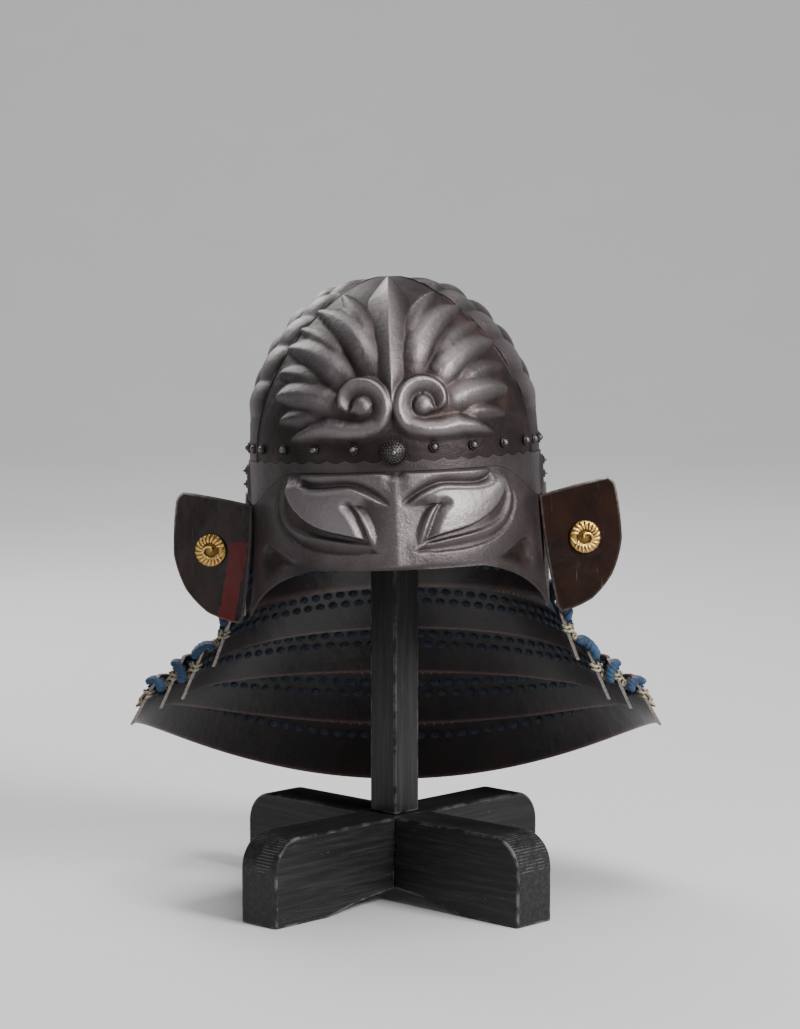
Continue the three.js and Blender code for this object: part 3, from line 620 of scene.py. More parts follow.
def shell(
    grid: tuple[int, int],
    wall: Wall,
    sides: Pair,
    paint: dict[str, Surface] | None = None,
    cloth: Pair | None = None,
    ring: bool = False,
) -> Mesh:
    """Makes a wall between the two sides of a surface.

    Args:
        grid: Faces across and down.
        wall: Places by shares across, shares down and the distance of a side.
        sides: The distances of the outer and the inner side.
        paint: Values to store on the mesh by name, by shares across and down.
        cloth: The wall's width and height, if it needs a UV map in metres.
        ring: Whether its two ends meet.

    Returns:
        The closed mesh.
    """
    bm = bmesh.new()
    share_layer = bm.verts.layers.float_vector.new("share")
    cells = {"x_segments": grid[0], "y_segments": grid[1], "size": 0.5}
    outer = bmesh.ops.create_grid(bm, **cells)["verts"]
    rim = [edge for edge in bm.edges if edge.is_boundary]
    if ring:
        rim = [edge for edge in rim if edge.verts[0].co.x != edge.verts[1].co.x]
    inner = bmesh.ops.create_grid(bm, **cells)["verts"]
    for vert in bm.verts:
        vert[share_layer] = (vert.co.x + 0.5, 0.5 - vert.co.y, 0.0)
    inner_faces = {face for vert in inner for face in vert.link_faces}
    bmesh.ops.reverse_faces(bm, faces=list(inner_faces))
    smooth_faces(bm.faces)
    grown = bmesh.ops.extrude_edge_only(bm, edges=rim)["geom"]
    edge_verts = [item for item in grown if isinstance(item, bmesh.types.BMVert)]
    for verts, out in zip((outer, inner + edge_verts), sides):
        shares = np.array([vert[share_layer][:2] for vert in verts])
        for vert, place in zip(verts, wall(shares[:, 0], shares[:, 1], out)):
            vert.co = place
    bmesh.ops.remove_doubles(bm, verts=bm.verts[:], dist=MERGE)
    for edge in bm.edges:
        edge.smooth = edge.calc_face_angle(0) < math.radians(60)
    every = np.array([vert[share_layer][:2] for vert in bm.verts])
    for key, surface in (paint or {}).items():
        layer = bm.verts.layers.float.new(key)
        for vert, value in zip(bm.verts, surface(every[:, 0], every[:, 1])):
            vert[layer] = float(value)
    if cloth:
        uv = bm.loops.layers.uv.new("UVMap")
        for face in bm.faces:
            for loop in face.loops:
                share = loop.vert[share_layer]
                loop[uv].uv = (share.x * cloth[0], share.y * cloth[1])
    return bm


def turned(profile: Sequence[Pair], steps: int) -> Mesh:
    """Spins a profile of radii and heights round +Z.

    Args:
        profile: Radius and height of each point, from the axis outwards.
        steps: Faces round the turn.

    Returns:
        The turned mesh.
    """
    bm = bmesh.new()
    verts = [bm.verts.new((radius, 0.0, height)) for radius, height in profile]
    edges = [bm.edges.new(pair) for pair in zip(verts[:-1], verts[1:])]
    turn = {"axis": (0, 0, 1), "cent": (0, 0, 0), "angle": 2 * math.pi, "use_merge": True}
    bmesh.ops.spin(bm, geom=verts + edges, steps=steps, **turn)
    bmesh.ops.remove_doubles(bm, verts=bm.verts[:], dist=MERGE)
    bmesh.ops.recalc_face_normals(bm, faces=bm.faces[:])
    smooth_faces(bm.faces)
    return bm


def bevel(bm: Mesh, edges: Sequence[bmesh.types.BMEdge], size: float) -> None:
    """Rounds edges by a size in metres."""
    how = {"offset_type": "OFFSET", "affect": "EDGES", "segments": 3, "profile": 0.5}
    bmesh.ops.bevel(bm, geom=edges, offset=size, material=-1, **how)


def paint_verts(bm: Mesh, key: str, value: Callable[[bmesh.types.BMVert], float]) -> None:
    """Stores a value from 0 to 1 on each vertex, by name."""
    layer = bm.verts.layers.float.new(key)
    for vert in bm.verts:
        vert[layer] = min(1.0, max(0.0, value(vert)))


def verts_of(bm: Mesh, faces: Sequence[bmesh.types.BMFace]) -> set[int]:
    """Gives the numbers of the vertices of some faces, which stay true when paint is added."""
    bm.verts.index_update()
    return {vert.index for face in faces for vert in face.verts}


def add_beads(bm: Mesh, count: int, ring: float, height: float, radius: float) -> None:
    """Adds a ring of small round beads.

    Args:
        bm: The mesh that gets them.
        count: How many there are.
        ring: The radius that they lie on.
        height: Their centres' height.
        radius: A bead's radius.
    """
    for k in range(count):
        angle = 2 * math.pi * k / count
        place = Matrix.Translation((ring * math.cos(angle), ring * math.sin(angle), height))
        made = bmesh.ops.create_icosphere(bm, subdivisions=2, radius=radius, matrix=place)
        smooth_faces({face for vert in made["verts"] for face in vert.link_faces})


def add_cord(bm: Mesh, path: Array, radius: float, sides: int = 8, flat: float = 1.0) -> None:
    """Adds a round cord along a path, closed at both ends, with a UV map in metres.

    Args:
        bm: The mesh that gets it.
        path: The points that it follows, one row for each.
        radius: Its radius.
        sides: Faces round it.
        flat: Its thickness as a share of its width.
    """
    path = np.vstack([path[:1], path, path[-1:]])
    steps = len(path)
    made = bmesh.ops.create_grid(bm, x_segments=sides, y_segments=steps - 1, size=0.5)["verts"]
    ahead = np.gradient(path, axis=0)
    ahead[0], ahead[-1] = ahead[1], ahead[-2]
    ahead /= np.linalg.norm(ahead, axis=1)[:, None]
    side = np.zeros_like(path)
    side[0] = ANY_SIDE
    for k in range(steps):
        side[k] = side[max(k - 1, 0)]
        side[k] -= ahead[k] * side[k].dot(ahead[k])
        side[k] /= np.linalg.norm(side[k])
    across = np.cross(ahead, side)
    travelled = np.concatenate([[0], np.cumsum(np.linalg.norm(np.diff(path, axis=0), axis=1))])
    width = np.full(steps, radius)
    width[[0, -1]] = 0
    width[[1, -2]] *= CORD_TAPER
    uv = bm.loops.layers.uv.verify()
    for vert in made:
        around, row = vert.co.x + 0.5, round((vert.co.y + 0.5) * (steps - 1))
        angle = 2 * math.pi * (around % 1)
        outward = across[row] * math.cos(angle) + side[row] * math.sin(angle) * flat
        vert.co = path[row] + width[row] * outward
        for loop in vert.link_loops:
            loop[uv].uv = (around * 2 * math.pi * radius, travelled[row])
            loop.face.smooth = True
    bmesh.ops.remove_doubles(bm, verts=made, dist=MERGE)


# Forms that are raised from a plate


class Profile(Enum):
    """The cross-section of a raised stroke."""

    ROUND = "round"
    RIDGE = "ridge"
    SOFT = "soft"
    LEAF = "leaf"

    def height(self, off: Array) -> Array:
        """Gives the height at a distance from the stroke's line.

        Args:
            off: The distance as a share of the half width.

        Returns:
            The height as a share of the rise.
        """
        near = np.clip(off, 0.0, 1.0)
        if self is Profile.RIDGE:
            return 1 - near
        if self is Profile.SOFT:
            return (1 - near * near) ** 2
        if self is Profile.LEAF:
            return 0.6 * (1 - near * near) ** 0.7 + 0.4 * (1 - near)
        return (1 - near * near) ** 0.8


@dataclass(frozen=True)
class Station:
    """A place on a stroke, in millimetres: across the plate, up, half width and rise."""

    x: float
    z: float
    half: float
    rise: float


def stroke(x: Array, z: Array, stations: Sequence[Station], profile: Profile) -> Array:
    """Gives the height of a stroke through stations.

    Args:
        x: Distances across, in millimetres.
        z: Heights on the plate, in millimetres.
        stations: The stroke's stations.
        profile: Its cross-section.

    Returns:
        The height at each point, in millimetres.
    """
    best = np.zeros_like(x)
    for a, b in zip(stations[:-1], stations[1:]):
        dx, dz = b.x - a.x, b.z - a.z
        along = np.clip(((x - a.x) * dx + (z - a.z) * dz) / (dx * dx + dz * dz), 0, 1)
        away = np.hypot(x - a.x - along * dx, z - a.z - along * dz)
        half = a.half + (b.half - a.half) * along
        here = (a.rise + (b.rise - a.rise) * along) * profile.height(away / half)
        best = np.where(np.abs(here) > np.abs(best), here, best)
    return best


def line_distance(x: Array, z: Array, line: Sequence[Pair]) -> Array:
    """Gives the distance to a line through points, in millimetres."""
    best = np.full_like(x, 1e9)
    for (ax, az), (bx, bz) in zip(line[:-1], line[1:]):
        dx, dz = bx - ax, bz - az
        along = np.clip(((x - ax) * dx + (z - az) * dz) / (dx * dx + dz * dz), 0, 1)
        best = np.minimum(best, np.hypot(x - ax - along * dx, z - az - along * dz))
    return best


def rounded(line: Sequence[Pair], passes: int = 3) -> list[Pair]:
    """Rounds the corners of a line through points, with its ends kept."""
    points = np.array(line, float)
    for _ in range(passes):
        a, b = points[:-1], points[1:]
        cut = np.stack([a * 0.75 + b * 0.25, a * 0.25 + b * 0.75], axis=1).reshape(-1, 2)
        points = np.vstack([points[:1], cut[1:-1], points[-1:]])
    return [(float(x), float(z)) for x, z in points]


def within(x: Array, z: Array, outline: Sequence[Pair]) -> Array:
    """Tells which points lie inside a closed outline."""
    inside = np.zeros(x.shape, bool)
    for (ax, az), (bx, bz) in zip(outline, [*outline[1:], outline[0]]):
        if az == bz:
            continue
        crosses = (az > z) != (bz > z)
        inside ^= crosses & (x < (bx - ax) * (z - az) / (bz - az) + ax)
    return inside


def eased(grid: Array, passes: int) -> Array:
    """Softens a grid of heights with its neighbours.

    Args:
        grid: Heights by row and column.
        passes: How many times it is done.

    Returns:
        The softened heights.
    """
    for _ in range(passes):
        wide = np.pad(grid, 1, mode="edge")
        around = wide[:-2, 1:-1] + wide[2:, 1:-1] + wide[1:-1, :-2] + wide[1:-1, 2:]
        grid = (grid * 2 + around * 0.5) / 4
    return grid


@dataclass(frozen=True)
class Leaf:
    """A pointed leaf: shares of the bowl's half width across and of its height up."""

    tip_across: float
    tip_up: float
    root_across: float
    root_up: float
    half: float
    bow: float
    rise: float


@dataclass
class Bowl:
    """The bowl's three plates and the measures that the other pieces share.

    Angles are in degrees. The blade's rows are shares of the height and of the half width, and
    the scroll's ring has a turn, the radii of its ridge and its foot, and a rise in each row.
    """

    half_width: float = 107
    front: float = 125
    rear: float = 116
    height: float = 128
    wall: float = 2.4
    front_lift: float = 1.2
    crown_angle: float = 42
    waist_angle: float = 67
    scallop_depth: float = 2.2
    scallops: int = 18
    relief: float = 6.5
    rivet_line: float = 7.3
    rivet_radius: float = 4
    band_depth: float = 34
    band_proud: float = 1
    band_wall: float = 2.2
    waist_height: float = 334
    tilt_back: float = 2
    lean: float = 2.1
    leaves: tuple[Leaf, ...] = (
        Leaf(0.31, 0.895, 0.13, 0.6, 0.062, 0.08, 0.6),
        Leaf(0.48, 0.8, 0.13, 0.47, 0.085, 0.16, 0.95),
        Leaf(0.6, 0.71, 0.33, 0.54, 0.055, 0.1, 0.6),
        Leaf(0.68, 0.6, 0.3, 0.4, 0.085, 0.14, 0.95),
        Leaf(0.74, 0.47, 0.46, 0.4, 0.055, 0.08, 0.6),
        Leaf(0.76, 0.34, 0.36, 0.28, 0.08, 0.1, 0.95),
        Leaf(0.74, 0.21, 0.48, 0.23, 0.045, 0.05, 0.6),
    )
    leaf_width: float = 1.32
    leaf_steps: int = 13
    least_half: float = 0.35
    tail: tuple[Station, ...] = (
        Station(5.6, 27.5, 5.0, 4.6),
        Station(12.0, 22.5, 6.6, 5.6),
        Station(22.0, 19.4, 7.4, 6.2),
        Station(33.0, 19.2, 7.6, 6.6),
        Station(44.5, 21.4, 8.6, 6.2),
        Station(55.0, 20.2, 6.8, 5.6),
        Station(64.0, 17.0, 3.8, 4.2),
        Station(71.0, 14.6, 0.4, 2.4),
    )
    blade: tuple[Pair, ...] = (
        (0.29, 0.004), (0.46, 0.09), (0.56, 0.12), (0.72, 0.14), (0.86, 0.135), (0.985, 0.02),
    )
    scroll_centre: Pair = (21.3, 36.3)
    scroll_start: float = -23
    boss_radius: float = 7.6
    boss_rise: float = 5.2
    groove_radius: float = 7.9
    groove_share: float = 0.12
    ring: tuple[tuple[float, float, float, float], ...] = (
        (0, 8.6, 11.0, 3.4),
        (23, 13.1, 16.5, 5.6),
        (60, 14.8, 18.4, 6.4),
        (113, 15.9, 19.8, 6.8),
        (203, 16.2, 22.0, 6.8),
        (250, 17.5, 22.5, 5.6),
        (300, 19.5, 23.5, 0.0),
    )
    curl: tuple[Station, ...] = (
        Station(28.4, 33.0, 1.9, 4.6),
        Station(26.6, 33.2, 2.0, 5.4),
        Station(25.8, 35.6, 1.6, 5.2),
    )
    front_grid: tuple[int, int] = (270, 165)
    rear_grid: tuple[int, int] = (130, 104)
    lip: float = 0.6
    gores: float = 4.5
    lobes: int = 7
    place: Matrix = field(default_factory=lambda: Matrix.Identity(4))

    def __post_init__(self) -> None:
        """Finds the helmet's own frame on top of the post."""
        low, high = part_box("stand_post")
        self.place = (
            Matrix.Translation(((low.x + high.x) / 2, (low.y + high.y) / 2, self.waist_height * MM))
            @ Matrix.Rotation(math.radians(-self.lean), 4, "Y")
            @ Matrix.Rotation(math.radians(-self.tilt_back), 4, "X")
        )

    def world(self, points: Array) -> Array:
        """Takes points from the helmet's frame in millimetres to the part's in metres.

        Args:
            points: One row for each point.

        Returns:
            The same points in the part's frame.
        """
        turn = np.array(self.place.to_3x3())
        return points * MM @ turn.T + np.array(self.place.translation)

    @staticmethod
    def plan(azimuth: Array, half_width: Size, front: Size, rear: Size, z: Size) -> Array:
        """Gives points of level egg-shaped plans.

        Args:
            azimuth: Angle from the brow, growing towards +X.
            half_width: Half the plan's width.
            front: Its reach to the front.
            rear: Its reach to the rear.
            z: Its height.

        Returns:
            One row for each point.
        """
        reach = np.where(np.cos(azimuth) > 0, front, rear)
        across, back = half_width * np.sin(azimuth), -reach * np.cos(azimuth)
        return np.stack([across, back, z + 0 * azimuth], axis=1)

    def dome(self, azimuth: Array, polar: Array, lift: Size) -> Array:
        """Gives points of the bowl, proud of its plain surface by lift."""
        ring = np.sin(polar)
        return self.plan(
            azimuth,
            (self.half_width + lift) * ring,
            (self.front + lift) * ring,
            (self.rear + lift) * ring,
            (self.height + lift) * np.cos(polar),
        )

    def seam(self, polar: Array) -> Array:
        """Gives the azimuth of the front plate's edge."""
        share = smooth(polar / (math.pi / 2))
        return np.radians(self.crown_angle + (self.waist_angle - self.crown_angle) * share)

    def leaf_stations(self, leaf: Leaf) -> list[Station]:
        """Gives the stations of a leaf from its root to its tip."""
        dx, dz = leaf.tip_across - leaf.root_across, leaf.tip_up - leaf.root_up
        stations = []
        for along in np.linspace(0, 1, self.leaf_steps):
            bend = leaf.bow * 4 * along * (1 - along)
            swell = math.sin(math.pi * (0.22 + 0.78 * along)) ** 0.72
            stations.append(
                Station(
                    (leaf.root_across + dx * along - dz * bend) * self.half_width,
                    (leaf.root_up + dz * along + dx * bend) * self.height,
                    max(leaf.half * swell * self.half_width * self.leaf_width, self.least_half),
                    leaf.rise * self.relief * (0.5 + 0.5 * swell) * smooth(0.25 + along * 3.0),
                )
            )
        return stations

    def scroll(self, x: Array, z: Array) -> Array:
        """Gives the height of the rolled scroll: a boss in a ridged ring that meets the tail."""
        dx, dz = x - self.scroll_centre[0], z - self.scroll_centre[1]
        radius = np.hypot(dx, dz)
        boss = self.boss_rise * np.sqrt(np.clip(1 - (radius / self.boss_radius) ** 2, 0, 1))
        turn = (np.degrees(np.arctan2(dz, dx)) - self.scroll_start) % 360
        turns, ridges, feet, rises = zip(*self.ring)
        ridge, foot = np.interp(turn, turns, ridges), np.interp(turn, turns, feet)
        groove, low = self.groove_radius, self.groove_share
        inner = low + (1 - low) * np.clip((radius - groove) / (ridge - groove), 0, 1)
        outer = np.sqrt(np.clip(1 - ((radius - ridge) / (foot - ridge)) ** 2, 0, 1))
        ring = np.interp(turn, turns, rises) * np.where(radius < ridge, inner, outer)
        ring = ring * (radius > groove)
        return np.maximum.reduce([boss, ring, stroke(x, z, self.curl, Profile.ROUND)])

    def front_relief(self, x: Array, z: Array) -> Array:
        """Gives the height of the front plate's forms, the same on both sides."""
        x = np.abs(x)
        up = z / self.height
        levels, halves = zip(*self.blade)
        half = np.interp(up, levels, halves) * self.half_width
        fade = smooth((1 - up) / 0.06) * (up > levels[0])
        blade = self.relief * 0.95 * np.clip(1 - x / half, 0, 1) * fade
        best = np.maximum.reduce([blade, self.scroll(x, z), stroke(x, z, self.tail, Profile.LEAF)])
        for leaf in self.leaves:
            best = np.maximum(best, stroke(x, z, self.leaf_stations(leaf), Profile.LEAF))
        return best

    def front_plate(self) -> None:
        """Builds the embossed front plate."""
        across, down = corner_shares(*self.front_grid)
        polar = down * math.pi / 2
        azimuth = (2 * across - 1) * self.seam(polar)
        plain = self.dome(azimuth.ravel(), polar.ravel(), 0.0)
        fade = smooth((plain[:, 2] - self.rivet_line - self.rivet_radius + 2) / self.relief)
        raised = (self.front_relief(plain[:, 0], plain[:, 2]) * fade).reshape(across.shape)
        lip = self.lip * (np.minimum(across, 1 - across) < 0.009) * smooth(down / 0.1)
        height = sampled(np.maximum(eased(raised, 2), lip))

        def wall(a: Array, d: Array, out: float) -> Array:
            tilt = d * math.pi / 2
            lift = self.front_lift + height(a, d) + out
            points = self.dome((2 * a - 1) * self.seam(tilt), tilt, lift)
            scallops = np.abs(np.cos(math.pi * self.scallops * a))
            points[:, 2] -= smooth((d - 0.965) / 0.035) * self.scallop_depth * scallops
            return self.world(points)

        # The raised share drives the iron's painted shade in the low parts and its worn metal with
        # painted highlight on the raised forms.
        paint = {"raised": lambda a, d: np.clip(height(a, d) / self.relief, 0, 1)}
        bm = shell(self.front_grid, wall, (0.0, -self.wall), paint)
        finish_piece("front_plate_embossed", bm, Finish.PLATE_IRON, ["bowl_front_plate"])

    def rear_plates(self) -> None:
        """Builds the two rear plates with their rows of rounded forms."""
        def height(a: Array, d: Array) -> Array:
            swell = smooth(d / 0.3) * smooth((0.93 - d) / 0.14)
            gore = np.abs(np.sin(self.gores * math.pi * a + 0.25)) ** 0.6
            stagger = 0.5 * np.floor(self.gores * a + 0.08)
            lobe = np.abs(np.sin(math.pi * (self.lobes * d + stagger))) ** 0.6
            ridge = np.clip(1 - (1 - a) / 0.05, 0, 1)
            return self.relief * swell * (gore * (0.22 + 0.62 * lobe) + 0.3 * ridge)

        def wall(side: int, a: Array, d: Array, out: float) -> Array:
            polar = np.maximum(1 / self.half_width, d * math.pi / 2)
            gap = np.arcsin(np.minimum(1, GAP / (self.rear * np.sin(polar))))
            first = self.seam(polar) + gap
            azimuth = first + (math.pi - gap / 2 - first) * a
            points = self.dome(side * azimuth, polar, out + height(a, d))
            points[:, 2] -= np.where(d > 0.999, self.scallop_depth, 0)
            return self.world(points)

        # The raised share drives the iron's painted shade in the low parts and its worn metal with
        # painted highlight on the raised forms.
        paint = {"raised": lambda a, d: np.clip(height(a, d) / self.relief, 0, 1)}
        for side, word in SIDES:
            bm = shell(self.rear_grid, partial(wall, side), (0.0, -self.wall), paint)
            name, node = f"rear_plate_{word}_embossed", f"bowl_plate_{word}"
            finish_piece(name, bm, Finish.PLATE_IRON, [node])


@dataclass
class Visor:
    """The embossed visor and the brow band that it hangs from.

    The lines of one eye and cheek are places across and up from the waist's middle. Each of the
    band's upright folds has a rise, an azimuth and a width in degrees.
    """

    bowl: Bowl
    end_angle: float = 74
    top_drop: float = 9
    centre_drop: float = 77
    tip_drop: float = 115
    side_flare: float = 6
    front_flare: float = 15
    wall: float = 2.2
    brow: tuple[Pair, ...] = (
        (3, -11), (10, -8.5), (27, -6.8), (49, -6.8), (60, -8.2), (66, -11), (67, -14),
        (65, -17.5),
    )
    lid: tuple[Pair, ...] = (
        (65, -17.5), (61, -19.5), (54, -20.5), (43, -19.5), (32, -18.8), (24, -21.5),
        (16, -25.5), (9, -30.5), (4, -33),
    )
    low_edge: tuple[Pair, ...] = (
        (75, -13), (76, -22), (73, -30.5), (68, -37.5), (60, -44), (52, -48), (43, -50.5),
        (34, -52.5), (26, -54.5), (21, -57),
    )
    under_ridge: tuple[Pair, ...] = (
        (77, -14), (81, -26), (81, -36), (76, -46.5), (67, -51.5), (54, -54.5), (38, -57),
        (20, -60),
    )
    under_edge: tuple[Pair, ...] = (
        (78, -16), (84, -28), (84.5, -39), (79, -51), (68, -60), (52, -64), (33, -65.5),
        (13, -65),
    )
    inner_corner: tuple[Pair, ...] = ((21, -57), (24, -47), (28, -38), (33, -32))
    sill: tuple[Pair, ...] = ((33, -32), (24, -32.5), (15, -34), (6, -34))
    temple: tuple[Pair, ...] = ((67, -12), (75, -10))
    crescent: tuple[Station, ...] = (
        Station(30.5, -31.5, 0.4, 3.2),
        Station(25.8, -36, 2.7, 5.2),
        Station(23.2, -40, 3.8, 6.0),
        Station(21.0, -44.5, 4.3, 6.2),
        Station(19.2, -49, 4.5, 6.0),
        Station(17.6, -54, 4.0, 5.4),
        Station(15.0, -62.5, 0.6, 2.2),
    )
    crease_end: tuple[Station, ...] = (Station(69, -6, 1.0, -0.6), Station(73, -3, 0.8, -0.2))
    nose_rise: float = 3.6
    nose_half: float = 19
    cheek_rise: float = 1.8
    ball_rise: float = 5.6
    ball_swell: float = 1.5
    rim_rise: float = 1.5
    fold_rise: float = 4.6
    fold_width: float = 9
    trough: Pair = (-3.0, 2.4)
    crease_depth: float = 1.0
    crease_half: float = 1.2
    cheek_hollow: float = 5.0
    rear_folds: tuple[tuple[float, float, float], ...] = ((2.2, 81, 1.2), (1.8, 95, 1.4))
    visor_grid: tuple[int, int] = (300, 145)
    band_grid: tuple[int, int] = (480, 10)
    cheek_rim: tuple[Pair, ...] = (
        (66, -72.5), (80, -67.5), (88, -62), (93, -60), (97.5, -63), (99.5, -70), (99, -79),
        (95, -88),
    )

    def top(self, azimuth: Array) -> Array:
        """Gives the height of the visor's top line."""
        out = np.abs(azimuth) / math.radians(self.end_angle)
        share = smooth((out - 0.55) / 0.45)
        return -(self.top_drop + (self.bowl.band_depth - self.top_drop) * share)

    def bottom(self, azimuth: Array) -> Array:
        """Gives the height of the visor's bottom edge."""
        out = np.abs(azimuth) / math.radians(self.end_angle)
        fall = np.clip((out - 0.42) / 0.58, 0, 1)
        more = (self.tip_drop - self.centre_drop) * fall * (0.35 + 0.65 * fall)
        return -(self.centre_drop + more)

    def relief(self, x: Array, z: Array) -> Array:
        """Gives the height of the embossed eyes, folds and hollows, the same on both sides."""
        x = np.abs(x)
        low_edge, lid, brow = rounded(self.low_edge), rounded(self.lid), rounded(self.brow)
        under_ridge, under_edge = rounded(self.under_ridge), rounded(self.under_edge)
        inner_corner, cheek_rim = rounded(self.inner_corner), rounded(self.cheek_rim)
        from_low, from_lid = line_distance(x, z, low_edge), line_distance(x, z, lid)
        from_ridge, from_edge = line_distance(x, z, under_ridge), line_distance(x, z, under_edge)

        nose = self.nose_rise * np.clip(1 - x / self.nose_half, 0, 1) * smooth((-z - 9) / 8)
        cheek = self.cheek_rise * (1 - smooth(from_edge / 16)) * smooth((x - 4) / 14)
        height = nose + cheek * smooth((-z - 22) / 12)

        deep, shallow = self.trough
        sunk = shallow - 3.8 * from_ridge / (from_ridge + from_edge + LEAST)
        sunk = sunk * smooth((-z - 18) / 12)
        height = np.where(within(x, z, [*under_ridge, *under_edge[::-1]]), sunk, height)
        hollow = (from_low / (from_low + from_ridge + LEAST)) ** 1.6
        trough = deep + (shallow - deep) * hollow
        height = np.where(within(x, z, [*low_edge, *under_ridge[::-1]]), trough, height)

        eye = self.eye(x, z, nose, low_edge, lid, inner_corner)
        inside = [*low_edge, *inner_corner[1:], *self.sill[1:], *lid[::-1], *self.temple]
        height = np.where(within(x, z, inside), eye, height)

        beside = smooth((x - 1) / self.fold_width)
        fold = self.fold_rise * smooth(from_lid / self.fold_width) ** 0.8 - 0.9
        fold = fold * beside + nose * (1 - beside)
        height = np.where(within(x, z, [*brow, *lid[1:]]), fold, height)
        height = np.maximum(height, stroke(x, z, self.crescent, Profile.RIDGE))

        open_side = line_distance(x, z, [cheek_rim[-1], cheek_rim[0]])
        hollow = smooth(line_distance(x, z, cheek_rim) / 5.0) * smooth(open_side / 11)
        height = height - self.cheek_hollow * hollow * within(x, z, cheek_rim)
        above = [(px, pz + 0.6) for px, pz in brow if px < 62 and pz > -12]
        crease = [Station(px, pz, self.crease_half, -self.crease_depth) for px, pz in above]
        return height + stroke(x, z, [*crease, *self.crease_end], Profile.SOFT)

    def eye(
        self,
        x: Array,
        z: Array,
        nose: Array,
        low_edge: Sequence[Pair],
        lid: Sequence[Pair],
        inner_corner: Sequence[Pair],
    ) -> Array:
        """Gives the height of the eyeball, which sinks into the nose at its inner end.

        Args:
            x: Distances from the middle.
            z: Heights from the waist.
            nose: The nose's height at each point.
            low_edge: The ball's lower edge.
            lid: The line under the upper lid.
            inner_corner: The edge beside the crescent.

        Returns:
            The height at each point.
        """
        from_low, from_lid = line_distance(x, z, low_edge), line_distance(x, z, lid)
        share = from_low / (from_low + from_lid + LEAST)
        ball = self.ball_rise + self.ball_swell * np.sin(math.pi * share) - 1.8 * share
        ball *= 0.3 + 0.7 * smooth(line_distance(x, z, inner_corner) / 6)
        ball *= np.where(x > 56, smooth((-z - 9) / 13), 1.0)
        rim = self.rim_rise * np.exp(-(((from_lid - 1.8) / 1.4) ** 2))
        fade = 1 - (1 - smooth(line_distance(x, z, self.sill) / 8)) * smooth((34 - x) / 15)
        fade = fade * smooth((x - 1) / 13)
        return nose + (np.maximum(nose, ball + rim) - nose) * fade

    def visor(self) -> None:
        """Builds the visor."""
        end, bowl = math.radians(self.end_angle), self.bowl

        def shape(a: Array, d: Array, lift: Size) -> Array:
            azimuth = (2 * a - 1) * end
            z = self.top(azimuth) + (self.bottom(azimuth) - self.top(azimuth)) * d
            side = bowl.half_width + bowl.band_proud + self.side_flare * d * d + lift
            front = bowl.front + bowl.band_proud + self.front_flare * d + lift
            return bowl.plan(azimuth, side, front, bowl.rear, z)

        across, down = corner_shares(*self.visor_grid)
        plain = shape(across.ravel(), down.ravel(), 0.0)
        forms = self.relief(plain[:, 0], plain[:, 2]).reshape(across.shape)
        ends = np.minimum(across, 1 - across) / 0.02
        edge = np.minimum.reduce([down / 0.03, (1 - down) / 0.05, ends])
        height = sampled(eased(forms * smooth(edge), 4))

        def wall(a: Array, d: Array, out: float) -> Array:
            return bowl.world(shape(a, d, height(a, d) + out))

        # The raised share drives the iron's painted shade in the low parts and its worn metal with
        # painted highlight on the raised forms.
        paint = {"raised": lambda a, d: np.clip(0.3 + height(a, d) / 8, 0, 1)}
        bm = shell(self.visor_grid, wall, (0.0, -self.wall), paint)
        finish_piece("visor_embossed", bm, Finish.PLATE_IRON, ["visor"])

    def band(self) -> None:
        """Builds the brow band, a plain ring with faint upright folds."""
        bowl = self.bowl

        def wall(a: Array, d: Array, out: float) -> Array:
            azimuth = (2 * (a % 1) - 1) * math.pi
            along = 0.5 + azimuth / (2 * math.radians(bowl.waist_angle))
            cusps = np.abs(np.cos(math.pi * bowl.scallops * np.clip(along, 0, 1)))
            under_plate = np.abs(along - 0.5) < 0.5
            top = -GAP - bowl.scallop_depth * np.where(under_plate, cusps, 1.0)
            behind = np.abs(azimuth) > math.radians(self.end_angle)
            low = np.where(behind, -bowl.band_depth, self.top(azimuth) + GAP)
            away = np.degrees(np.abs(azimuth))
            folds = sum(
                rise * np.exp(-(((away - middle) / width) ** 2))
                for rise, middle, width in self.rear_folds
            )
            proud = bowl.band_proud + out + folds * smooth(d / 0.2) * smooth((1 - d) / 0.15)
            sizes = (bowl.half_width + proud, bowl.front + proud, bowl.rear + proud)
            return bowl.world(bowl.plan(azimuth, *sizes, top + (low - top) * d))

        # The band is lighter towards its top and bottom edges: worn edges with a painted highlight,
        # through the iron's raised share.
        paint = {"raised": lambda a, d: 0.35 + 0.25 * smooth(np.abs(d - 0.5) * 2 - 0.7)}
        bm = shell(self.band_grid, wall, (0.0, -bowl.band_wall), paint, ring=True)
        finish_piece("brow_band_plate", bm, Finish.PLATE_IRON, ["brow_band"])


